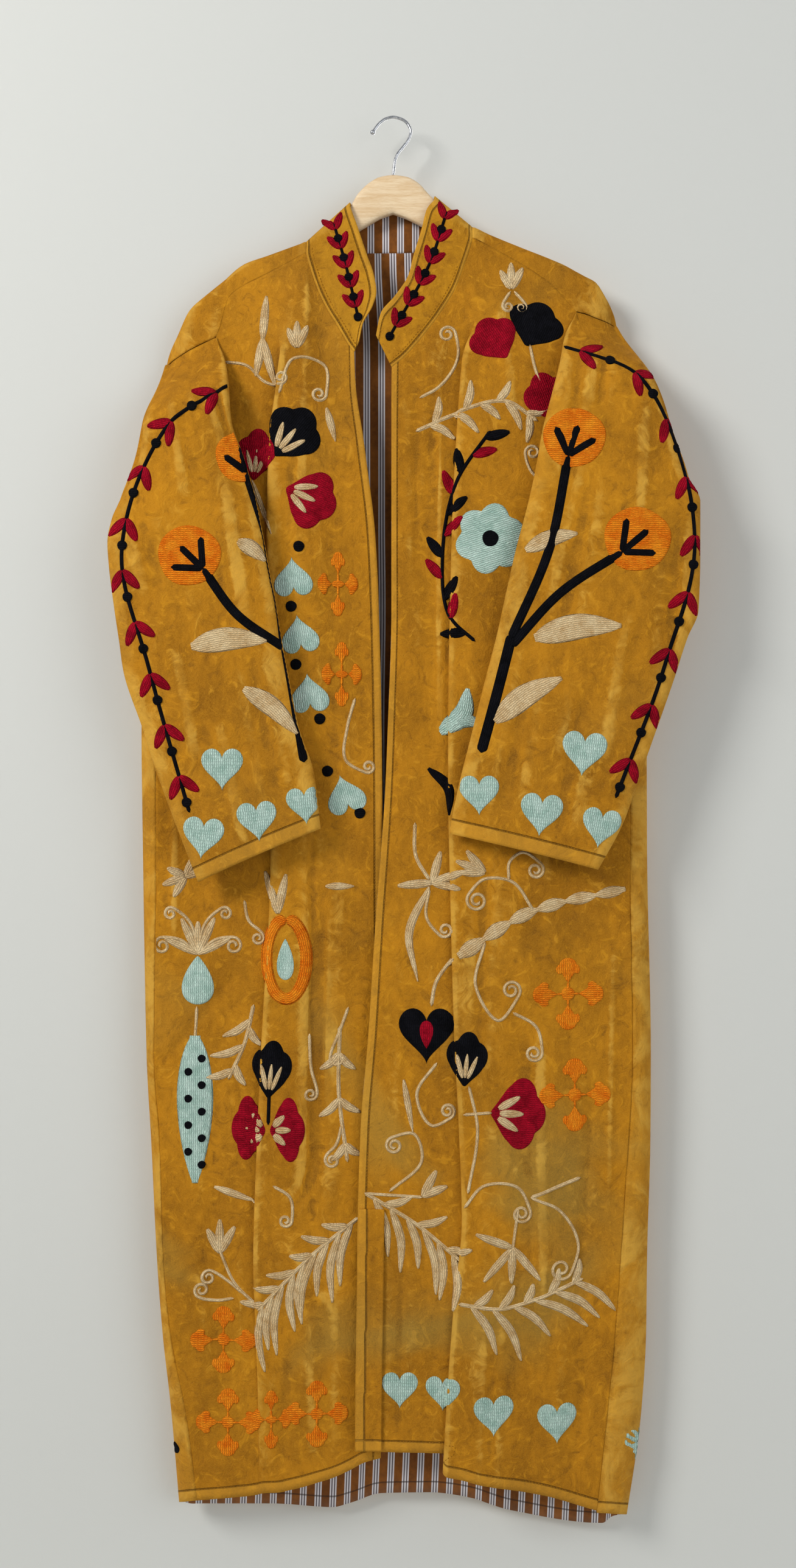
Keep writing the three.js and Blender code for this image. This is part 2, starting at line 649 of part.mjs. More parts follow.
// The band in columns from the left tip to the right end and rows from free edge to seam.
function collarGrid(rows) {
  const grid = [];
  for (let r = 0; r <= COLLAR_STEPS; r += 1) {
    const share = r / COLLAR_STEPS;
    grid.push(rows.map((row) => {
      const x = mix(row.freeX, row.x, share);
      const y = mix(row.freeY, row.y, share);
      const z = row.drop === undefined ? mix(row.freeZ, row.z, share) : ridgeAt(x) - row.drop;
      return new THREE.Vector3(x, y, z);
    }));
  }
  return grid;
}
const collar = reversed(drawnIn(reversed(collarGrid(collarRows)), { top: DRAWN_IN }));
addPiece('collar', wall(collar, {}), COLOURS.velvet);
const collarLining = collarGrid(NECK.back.slice(1, -1));
addPiece(
  'collar_lining',
  wall(collarLining, { thickness: LINING, offset: BENEATH }),
  COLOURS.lining,
);

// ---- Sleeves ----

// Each sleeve's two edges as it hangs, at each height.
const LEFT_SLEEVE = [
  { z: -237, outer: -232, inner: -186 },
  { z: -264, outer: -241, inner: -176 },
  { z: -300, outer: -249, inner: -170 },
  { z: -332, outer: -257, inner: -168 },
  { z: -373, outer: -264, inner: -155 },
  { z: -412, outer: -280, inner: -144 },
  { z: -436, outer: -291, inner: -139 },
  { z: -460, outer: -295.5, inner: -134 },
  { z: -484, outer: -294, inner: -130 },
  { z: -524, outer: -289, inner: -122 },
  { z: -565, outer: -283, inner: -115.5 },
  { z: -593, outer: -279, inner: -110 },
  { z: -650, outer: -260, inner: -99 },
  { z: -698, outer: -244.5, inner: -83 },
  { z: -755, outer: -223.5, inner: -76 },
  { z: -812, outer: -201.5, inner: -68 },
];
const RIGHT_SLEEVE = [
  { z: -210, outer: 232, inner: 194 },
  { z: -238, outer: 246, inner: 181 },
  { z: -273, outer: 262, inner: 173.5 },
  { z: -309, outer: 278, inner: 164.5 },
  { z: -345, outer: 289, inner: 155.5 },
  { z: -392, outer: 305, inner: 147.5 },
  { z: -417, outer: 318, inner: 142 },
  { z: -475, outer: 318, inner: 126.5 },
  { z: -531, outer: 316, inner: 114 },
  { z: -558, outer: 305, inner: 108 },
  { z: -604, outer: 290, inner: 96 },
  { z: -664, outer: 269, inner: 81 },
  { z: -712, outer: 252, inner: 69 },
  { z: -751, outer: 238, inner: 61 },
  { z: -801, outer: 211, inner: 54 },
];
const SLEEVES = {
  left: {
    edges: LEFT_SLEEVE, armhole: ARMHOLES.left, out: -1, cuff: { outer: -812, inner: -757 },
  },
  right: {
    edges: RIGHT_SLEEVE, armhole: ARMHOLES.right, out: 1, cuff: { outer: -799, inner: -762 },
  },
};
const CUFF_ROWS = 2; // rows of a sleeve that its lining covers, from the cuff up
const FRONT_COLUMNS = 8; // upright lines on a sleeve's front wall
const SLEEVE_STEPS = 16;
const CLEAR_OF_BACK = 3; // between a sleeve's middle and the back panel's at their seam
const CROSSING = { x: 170, y: 75 }; // drop over which a sleeve leaves its armhole's line
const ROUNDNESS = 0.35; // power of a sleeve's section: 0.5 is an ellipse, and less is flatter

function alongRows(rows, share) {
  const place = share * (rows.length - 1);
  const i = Math.min(rows.length - 2, Math.floor(place));
  const [a, b] = [rows[i], rows[i + 1]];
  const t = place - i;
  return { x: mix(a.x, b.x, t), y: mix(a.y, b.y, t), z: mix(a.z, b.z, t) };
}

// Upright lines round a sleeve: where each starts on the armhole, the side it is on (-1 is
// the front wall and 1 the back wall) and its share of the way across to the inner edge.
function sleeveLines({ armhole, out }) {
  const stepAside = (start, x, y, z, length = LYING_ON) => {
    const step = new THREE.Vector3(x, y, z).setLength(length);
    return { x: start.x + step.x, y: start.y + step.y, z: start.z + step.z };
  };
  const lines = [];
  for (let i = 0; i <= FRONT_COLUMNS; i += 1) {
    const across = (1 - Math.cos((Math.PI * i) / FRONT_COLUMNS)) / 2;
    const start = alongRows(armhole.top, across);
    const aside = i === 0
      ? stepAside(start, out, -0.5, -0.3, CLEAR_OF_BACK)
      : stepAside(start, 0, -1, -1, LYING_ON + SEAM);
    lines.push({ start: aside, wallSide: -1, across });
  }
  const under = armhole.front.slice(1);
  const behind = armhole.back.slice(1, -1);
  const backCount = under.length + behind.length;
  [...under, ...behind].forEach((row, i) => {
    const across = (1 + Math.cos((Math.PI * (i + 1)) / (backCount + 1))) / 2;
    const start = i < under.length - 1
      ? stepAside(row, 0, -1, 0)
      : stepAside(row, out, row.y < -5 ? -1 : 0, 0, CLEAR_OF_BACK);
    lines.push({ start, wallSide: 1, across });
  });
  return lines;
}

function sleeveGrid(sleeve, steps) {
  const place = (line, z) => {
    const edge = lookUp(sleeve.edges, 'z', z);
    const bulge = SLEEVE_HALF * (4 * line.across * (1 - line.across)) ** ROUNDNESS;
    return { x: mix(edge.outer, edge.inner, line.across), y: SLEEVE_Y + line.wallSide * bulge };
  };
  const lines = sleeveLines(sleeve);
  const grid = [];
  for (let r = 0; r <= steps; r += 1) {
    grid.push(lines.map((line) => {
      const end = mix(sleeve.cuff.outer, sleeve.cuff.inner, line.across);
      const z = mix(line.start.z, end, r / steps);
      const first = place(line, line.start.z);
      const point = place(line, z);
      const fallen = line.start.z - z;
      const x = point.x + (line.start.x - first.x) * (1 - smooth(fallen / CROSSING.x));
      const y = point.y + (line.start.y - first.y) * (1 - smooth(fallen / CROSSING.y));
      return new THREE.Vector3(x, y, z);
    }));
  }
  return grid;
}

for (const [side, sleeve] of Object.entries(SLEEVES)) {
  const grid = sleeveGrid(sleeve, SLEEVE_STEPS);
  const shape = { ring: true, turned: sleeve.out < 0 };
  addPiece(`sleeve_${side}`, wall(grid, shape), COLOURS.velvet);
  addPiece(
    `cuff_${side}_lining`,
    wall(grid.slice(-CUFF_ROWS), { ...shape, thickness: LINING, offset: BENEATH }),
    COLOURS.lining,
  );
}

// ---- Hanger ----

// A closed solid through rings of points, with flat ends. `turned` swaps inside and out.
function loft(rings, turned = false) {
  const count = rings[0].length;
  const points = [...rings.flat()];
  const centre = (ring) => ring
    .reduce((sum, point) => sum.add(point), new THREE.Vector3())
    .divideScalar(count);
  points.push(centre(rings[0]), centre(rings[rings.length - 1]));
  const faces = [];
  const face = (a, b, c) => faces.push(...(turned ? [a, c, b] : [a, b, c]));
  for (let r = 0; r < rings.length - 1; r += 1) {
    for (let i = 0; i < count; i += 1) {
      const [a, b] = [r * count + i, r * count + ((i + 1) % count)];
      face(a, b, b + count);
      face(a, b + count, a + count);
    }
  }
  const lastRing = (rings.length - 1) * count;
  for (let i = 0; i < count; i += 1) {
    face(points.length - 2, (i + 1) % count, i);
    face(points.length - 1, lastRing + i, lastRing + ((i + 1) % count));
  }
  const geometry = new THREE.BufferGeometry().setFromPoints(points);
  geometry.setIndex(faces);
  geometry.computeVertexNormals();
  return geometry;
}

// Stations along the wooden bar: its top, where it shows between the collar's edges or at
// its ends, and its underside.
const BAR_HUMP = [
  { x: -38, top: -81.5 },
  { x: -26, top: -69.6 },
  { x: -14, top: -63 },
  { x: 0, top: -61 },
  { x: 15, top: -63 },
  { x: 27, top: -69.6 },
  { x: 39, top: -82.5 },
];
const BAR_UNDERSIDE = [
  { x: -203, z: -211.5 },
  { x: -36, z: -120 },
  { x: -14, z: -107 },
  { x: 0, z: -102 },
  { x: 14, z: -107 },
  { x: 30, z: -115 },
  { x: 210, z: -201 },
];
const BAR_ENDS = [
  { x: -201.5, top: -197.5, lift: 6 },
  { x: 209.5, top: -181, lift: 7 },
];
const barStations = [
  BAR_ENDS[0],
  ...RIDGE.filter(({ x }) => x > BAR_ENDS[0].x && x < BAR_ENDS[1].x)
    .map(({ x, z }) => ({ x, top: z - BAR_BELOW_RIDGE })),
  ...BAR_HUMP,
  BAR_ENDS[1],
].sort((a, b) => a.x - b.x);
const barRings = barStations.map(({ x, top, lift = 0 }) => {
  const i = Math.max(1, BAR_UNDERSIDE.findIndex((row) => row.x >= x));
  const [a, b] = [BAR_UNDERSIDE[i - 1], BAR_UNDERSIDE[i]];
  const bottom = mix(a.z, b.z, (x - a.x) / (b.x - a.x)) + lift;
  return [
    [-BAR_HALF, bottom + BAR_UNDER_EDGE], [-BAR_HALF + BAR_UNDER_EDGE, bottom],
    [BAR_HALF - BAR_UNDER_EDGE, bottom], [BAR_HALF, bottom + BAR_UNDER_EDGE],
    [BAR_HALF, top - BAR_CHAMFER], [BAR_HALF - BAR_CHAMFER, top],
    [BAR_CHAMFER - BAR_HALF, top], [-BAR_HALF, top - BAR_CHAMFER],
  ].map(([y, z]) => new THREE.Vector3(x, y, z));
});
addPiece('hanger_bar', loft(barRings), COLOURS.wood, 0.55);

// The hook's wire, from its ball tip over the top and down into the bar.
const HOOK_LINE = [
  { x: -23, z: -17 },
  { x: -19, z: -10.5 },
  { x: -13, z: -3.6 },
  { x: -6.5, z: 0.3 },
  { x: 0, z: WIRE_RADIUS },
  { x: 9.5, z: -0.8 },
  { x: 16.4, z: -6.8 },
  { x: 18.9, z: -14 },
  { x: 16.9, z: -21.5 },
  { x: 10.4, z: -30.6 },
  { x: 4.5, z: -38.4 },
  { x: 2, z: -45 },
  { x: 0, z: -60.7 },
];
const HOOK_STEPS = 44;
const WIRE_SIDES = 10;
const BALL_RADIUS = 2.6;
const wire = new THREE.CatmullRomCurve3(HOOK_LINE.map(({ x, z }) => new THREE.Vector3(x, 0, z)));
const wireRing = (point, tangent, radius) => Array.from({ length: WIRE_SIDES }, (_, i) => {
  const angle = (2 * Math.PI * i) / WIRE_SIDES;
  const side = new THREE.Vector3(-tangent.z, 0, tangent.x).multiplyScalar(radius * Math.cos(angle));
  return side.add(point).add(new THREE.Vector3(0, radius * Math.sin(angle), 0));
});
const tipTangent = wire.getTangentAt(0);
const ballRings = [-0.9, -0.6, 0, 0.6].map((share) => wireRing(
  wire.getPointAt(0).addScaledVector(tipTangent, share * BALL_RADIUS),
  tipTangent,
  BALL_RADIUS * Math.sqrt(1 - share * share),
));
const wireRings = Array.from({ length: HOOK_STEPS }, (_, i) => {
  const share = (i + 3) / (HOOK_STEPS + 2);
  return wireRing(wire.getPointAt(share), wire.getTangentAt(share), WIRE_RADIUS);
});
addPiece('hanger_hook', loft([...ballRings, ...wireRings], true), COLOURS.steel, 0.25, 1);

export default robe;
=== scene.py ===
"""A velvet kimono robe on a wooden hanger: cloth, lining, embroidery, sewing, hanger, studio.

Tables and sizes are in millimetres, as a cutter notes them, and MM turns them into metres.
+X is the viewer's right, the front faces -Y, +Z is up, and the hook's inner top is the origin.
"""

import bpy
import numpy as np
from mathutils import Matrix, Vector


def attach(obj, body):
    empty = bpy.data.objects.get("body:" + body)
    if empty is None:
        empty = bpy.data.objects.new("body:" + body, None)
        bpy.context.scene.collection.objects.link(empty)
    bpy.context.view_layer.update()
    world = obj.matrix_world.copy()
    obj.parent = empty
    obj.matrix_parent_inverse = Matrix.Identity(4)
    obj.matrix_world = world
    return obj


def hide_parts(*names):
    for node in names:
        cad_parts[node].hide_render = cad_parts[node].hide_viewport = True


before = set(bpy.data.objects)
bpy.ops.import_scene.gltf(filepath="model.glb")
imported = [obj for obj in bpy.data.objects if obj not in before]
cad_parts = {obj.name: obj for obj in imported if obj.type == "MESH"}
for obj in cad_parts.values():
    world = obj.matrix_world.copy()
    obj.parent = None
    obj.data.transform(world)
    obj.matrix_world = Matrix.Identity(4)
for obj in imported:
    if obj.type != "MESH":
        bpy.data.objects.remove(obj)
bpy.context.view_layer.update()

MM = 0.001
VELVET = 1.8  # wall of the velvet with its backing
LINING = 1.0  # wall of the lining
SEAM = 0.3
BENEATH = -(VELVET / 2 + SEAM + LINING / 2)  # lining's middle, below the velvet's


# ---- Tables and curves ----

def table(columns, *rows):
    """A cutter's table as a dict from each column's name to its values."""
    return dict(zip(columns.split(), np.array(rows, float).T))


def mix(a, b, t):
    """The way from a at t = 0 to b at t = 1."""
    return a + (b - a) * t


def smooth(t):
    """0 to 1 with flat ends: t squared times (3 - 2t)."""
    t = np.clip(t, 0, 1)
    return t * t * (3 - 2 * t)


def unit(vectors):
    """Vectors made 1 long."""
    return vectors / np.maximum(np.linalg.norm(vectors, axis=-1, keepdims=True), 1e-9)


def distances(points):
    """How far along a line each of its points is."""
    return np.concatenate([[0], np.cumsum(np.linalg.norm(np.diff(points, axis=0), axis=1))])


def through(places, values, at, loose=False):
    """A smooth curve through values at places, as cubic Hermite pieces. It never overshoots,
    because its slopes are harmonic means of the two chords beside a point, or 0 at a turn.
    A loose curve swings round its points instead, with plain means as its slopes."""
    places, values = np.asarray(places, float), np.asarray(values, float)
    if places[0] > places[-1]:
        places, values = places[::-1], values[::-1]
    more = (1,) * (values.ndim - 1)
    chord = np.diff(values, axis=0) / np.diff(places).reshape(-1, *more)
    product, total = chord[:-1] * chord[1:], chord[:-1] + chord[1:]
    inner = np.where(product > 0, 2 * product / np.where(total == 0, 1, total), 0)
    if loose:
        inner = total / 2
    slope = np.concatenate([chord[:1], inner, chord[-1:]])
    at = np.clip(np.asarray(at, float), places[0], places[-1])
    i = np.clip(np.searchsorted(places, at, side="right") - 1, 0, len(places) - 2)
    span = places[i + 1] - places[i]
    t = ((at - places[i]) / span).reshape(*at.shape, *more)
    span = span.reshape(*at.shape, *more)
    ease = t * t * (3 - 2 * t)
    pull = t * (1 - t) * ((1 - t) * slope[i] - t * slope[i + 1]) * span
    return mix(values[i], values[i + 1], ease) + pull


def look_up(rows, by, at):
    """Every column of a table, at the values `at` of its column `by`."""
    return {name: through(rows[by], column, at) for name, column in rows.items()}


def troughs(rows, x, z):
    """Depth of soft troughs (above 0) and ridges (below 0): each a bell across its line,
    faded in and out over a fifth of its length."""
    depth = np.zeros(np.broadcast(x, z).shape)
    for start, end, x_start, x_end, width, deep in zip(*rows.values()):
        t = (z - start) / (end - start)
        fade = smooth(t * 5) * smooth((1 - t) * 5)
        off = x - mix(x_start, x_end, np.clip(t, 0, 1))
        depth += deep * fade * np.exp(-((off / width) ** 2))
    return depth


TROUGH = "start end x_start x_end width deep"


def ripples(x, z, size):
    """The small unevenness of stitched cloth: six crossing sine waves of 30 to 90 mm."""
    waves = table(
        "across down phase share",
        (1 / 9, 1 / 31, 0.3, 0.5), (1 / 14, -1 / 22, 1.9, 0.8), (1 / 7.5, 1 / 55, 4.1, 0.45),
        (-1 / 11, 1 / 17, 2.6, 0.5), (1 / 26, 1 / 12, 5.2, 0.6), (1 / 21, -1 / 9.5, 0.9, 0.4),
    )
    return size * sum(
        share * np.sin(across * x + down * z + phase)
        for across, down, phase, share in zip(*waves.values())
    )


# ---- Grids of cloth ----

def spaced(grid, every, least=3):
    """Places along a grid's lines so that samples lie about `every` apart at mid height."""
    middle = grid[len(grid) // 2]
    lengths = np.linalg.norm(np.diff(middle, axis=0), axis=1)
    counts = np.maximum(least, np.ceil(lengths / every)).astype(int)
    steps = [i + np.arange(n) / n for i, n in enumerate(counts)]
    return np.concatenate([*steps, [len(counts)]])


def refined(grid, places, ring=False):
    """The grid with its upright lines resampled at `places`, smoothly across."""
    lines = grid.swapaxes(0, 1)
    if ring:
        around = np.concatenate([lines[-3:], lines, lines[:4]])
        return through(np.arange(len(around)), around, places + 3).swapaxes(0, 1)
    return through(np.arange(len(lines)), lines, places).swapaxes(0, 1)


def normals(grid, turned=False, ring=False):
    """Unit vectors square to a grid: its step across, crossed with its step down."""
    if ring:
        across = np.roll(grid, -1, axis=1) - np.roll(grid, 1, axis=1)
    else:
        across = np.gradient(grid, axis=1)
    return unit(np.cross(across, np.gradient(grid, axis=0))) * (-1 if turned else 1)


def cloth_sizes(grid):
    """Each point's place on the flat cloth in metres, across and down, as its UV."""
    across = np.linalg.norm(np.diff(grid, axis=1), axis=2)
    across = np.concatenate([np.zeros((len(grid), 1)), np.cumsum(across, axis=1)], axis=1)
    across -= across[:, across.shape[1] // 2][:, None]
    down = np.linalg.norm(np.diff(grid, axis=0), axis=2)
    down = np.concatenate([np.zeros((1, grid.shape[1])), np.cumsum(down, axis=0)])
    return np.stack([across, down - down[-1]], axis=2) * MM


def inwards(grid, edge):
    """A grid with its rows counted in from an edge, and the distances covered on the way."""
    turned = {
        "top": grid, "bottom": grid[::-1], "left": grid.swapaxes(0, 1),
        "right": grid[:, ::-1].swapaxes(0, 1),
    }[edge]
    gone = np.cumsum(np.linalg.norm(np.diff(turned, axis=0), axis=2), axis=0)
    return turned, np.concatenate([np.zeros((1, turned.shape[1])), gone])


def from_line(grid, edge, line):
    """How far each point of a grid is past a sewn line, which is `line` in from an edge."""
    if edge is None:
        return np.full(grid.shape[:2], 1 / MM)
    _, gone = inwards(grid, edge)
    put_back = {"top": gone, "bottom": gone[::-1], "left": gone.T, "right": gone.T[:, ::-1]}
    return put_back[edge] - line


CREST_HEIGHT = 0.9  # a point that stands out this far is wholly on a crest
NEIGHBOURS = 5  # on each side of a point, that it is compared with


def crests(grid, out):
    """How far each point stands out from the mean of its neighbours across, from -1 to 1."""
    ends = [grid[:, :1]] * NEIGHBOURS, [grid[:, -1:]] * NEIGHBOURS
    padded = np.concatenate([np.zeros_like(grid[:, :1]), *ends[0], grid, *ends[1]], axis=1)
    summed = np.cumsum(padded, axis=1)
    width = 2 * NEIGHBOURS + 1
    mean = (summed[:, width:] - summed[:, :-width]) / width
    return np.clip(((grid - mean) * out).sum(axis=2) / CREST_HEIGHT, -1, 1)


def add_mesh(name, points, faces, uv=None, sewn=None, crest=None):
    """A smooth-shaded object from points in millimetres and faces of one size."""
    mesh = bpy.data.meshes.new(name)
    mesh.from_pydata(points.reshape(-1, 3) * MM, [], faces)
    corners = np.empty(len(mesh.loops), int)
    mesh.loops.foreach_get("vertex_index", corners)
    for label, values in (("cloth", uv), ("sewn", sewn)):
        if values is not None:
            layer = mesh.uv_layers.new(name=label)
            layer.data.foreach_set("uv", values.reshape(-1, 2)[corners].ravel())
    if crest is not None:
        mesh.attributes.new("crest", "FLOAT", "POINT").data.foreach_set("value", crest.ravel())
    mesh.polygons.foreach_set("use_smooth", np.ones(len(mesh.polygons), bool))
    mesh.update()
    piece = bpy.data.objects.new(name, mesh)
    bpy.context.scene.collection.objects.link(piece)
    return piece


NO_LINES = (None, 0, None, 0)


def shell(name, grid, thickness, turned=False, ring=False, offset=0.0, sewn=NO_LINES):
    """A closed wall of cloth: the grid moved out and in by half its thickness along its
    normals, with a rim of faces round each open edge. sewn is a first edge, how far in from
    it a line is sewn, and the same for a second edge. Also gives the outer side's points."""
    out = normals(grid, turned, ring)
    half = thickness / 2
    points = np.stack([grid + out * (offset + half), grid + out * (offset - half)])
    rows, lines = grid.shape[:2]
    index = np.arange(2 * rows * lines).reshape(2, rows, lines)
    if ring:
        index = np.concatenate([index, index[:, :, :1]], axis=2)

    def cells(a, b, c, d):
        return np.stack([a, b, c, d], axis=-1).reshape(-1, 4)

    outer, inner = index
    faces = [
        cells(outer[:-1, :-1], outer[:-1, 1:], outer[1:, 1:], outer[1:, :-1]),
        cells(inner[:-1, :-1], inner[1:, :-1], inner[1:, 1:], inner[:-1, 1:]),
        cells(outer[0, 1:], outer[0, :-1], inner[0, :-1], inner[0, 1:]),
        cells(outer[-1, :-1], outer[-1, 1:], inner[-1, 1:], inner[-1, :-1]),
    ]
    if not ring:
        faces.append(cells(outer[:-1, 0], outer[1:, 0], inner[1:, 0], inner[:-1, 0]))
        faces.append(cells(outer[1:, -1], outer[:-1, -1], inner[:-1, -1], inner[1:, -1]))
    faces = np.concatenate(faces)
    if turned:
        faces = faces[:, ::-1]
    uv = cloth_sizes(grid)
    lines = np.stack([from_line(grid, *sewn[:2]), from_line(grid, *sewn[2:])], axis=2) * MM
    crest = crests(grid, out)
    piece = add_mesh(name, points, faces, np.stack([uv, uv]), np.stack([lines, lines]),
                     np.stack([crest, -crest]))
    return piece, points[0]


# ---- The robe's lines ----

RIDGE = table(
    "x z", (-238, -253), (-216.5, -206), (-204.8, -194.4), (-158.6, -156.7), (-92, -132.5),
    (-45, -90), (43.5, -83.4), (85, -117.7), (122, -133.3), (178, -155.4), (215, -175.6),
    (238.6, -212),
)
OVER_BAR = table("y drop", (-9, 6.2), (-5, 1.7), (0, 0.9), (5, 1.7), (9, 6.2))


def ridge_at(x):
    """Height of the cloth's ridge over the bar at x."""
    return np.interp(x, RIDGE["x"], RIDGE["z"])


# Seams round the armholes: over the top, down the front edge, and up the back edge.
ARMHOLES = {
    "left": {
        "top": np.array([
            (-240, 3, -262), (-229, -6, -257), (-216, -9.5, -250), (-201, -11.5, -243),
            (-187, -13, -237),
        ], float),
        "front": np.array([
            (-187, -13, -237), (-204, -16, -290), (-221, -17, -345), (-238, -17.5, -400),
            (-252, -18, -452),
        ], float),
        "back": np.array([
            (-252, -18, -452), (-259, -9, -447), (-261, 2, -428), (-259, 9, -385),
            (-252, 10, -320), (-240, 3, -262),
        ], float),
    },
    "right": {
        "top": np.array([
            (236, 3, -221), (226, -6, -219), (215, -9.5, -216), (204, -11, -212),
            (194, -12, -210),
        ], float),
        "front": np.array([
            (194, -12, -210), (209, -15, -268), (225, -17, -330), (241, -17.5, -392),
            (254, -18, -452),
        ], float),
        "back": np.array([
            (254, -18, -452), (261, -9, -447), (263, 2, -428), (262, 9, -370),
            (252, 10, -290), (236, 3, -221),
        ], float),
    },
}
# Shoulder seams, forward of the ridge, from the armhole to the neck.
SHOULDERS = {
    "left": np.array([
        (-175, -10.5, -196), (-158, -10.5, -182), (-145, -10.5, -175.5), (-134, -10.5, -170),
        (-124, -10.5, -164.5), (-115, -10.5, -160), (-107, -10.5, -155.5), (-99, -10.5, -151),
    ]),
    "right": np.array([
        (181, -11, -195), (168, -10.5, -181), (150, -10.5, -168.5), (139, -10.5, -161),
        (129, -10.5, -155), (119, -10.5, -149.5), (110, -10.5, -144.5), (101, -10.5, -139.5),
        (92, -10.5, -135.5),
    ]),
}
# The neck seam, and the collar's free edge beside it.
NECK = {
    "left": np.array([
        (-41, -15.5, -254, -36, -17, -243), (-47, -15, -246, -32, -18, -225),
        (-59, -15, -226, -21.5, -19, -206), (-71, -14, -206, -17.5, -19, -191),
        (-80, -13, -187, -20.5, -17, -172), (-87, -12, -167, -28, -15, -150),
        (-92, -10.5, -147.5, -37, -12, -122),
    ]),
    "back": np.array([
        (-84, 10.5, -140, -51, 10.5, -90), (-60, 12, -140, -44, 12.5, -87),
        (-30, 12.5, -140, -26, 13, -86), (0, 12.5, -140, 0, 13, -86),
        (30, 12.5, -139, 25, 13, -85), (58, 12, -136, 43, 12.5, -84),
        (77, 10.5, -132, 49, 10.5, -86),
    ]),
    "right": np.array([
        (84, -10.5, -131.5, 36, -12, -101), (75, -12, -162, 29.5, -14, -125.5),
        (66, -13, -186, 22, -16, -150.5), (49, -14, -214, 16, -17, -173.5),
        (30, -15, -239, 1.5, -16.5, -195.5), (11, -15, -260, -13, -15.5, -213),
        (-1.5, -15, -270, -18, -14, -236),
    ]),
}
BODY = table(
    "z seam_left left right seam_right",
    (-440, -252, -259, 263, 254), (-526, -251.5, -262, 267, 252),
    (-654, -250, -267.5, 269.5, 250), (-782, -250, -266, 270, 250),
    (-998, -252, -262, 274, 253), (-1092, -246, -257, 273.5, 248),
    (-1214, -242, -251, 270, 240), (-1295, -234, -245, 269, 234),
    (-1377, -218, -236, 264, 226), (-1505, -202, -225, 246, 212),
)

# ---- Fronts ----

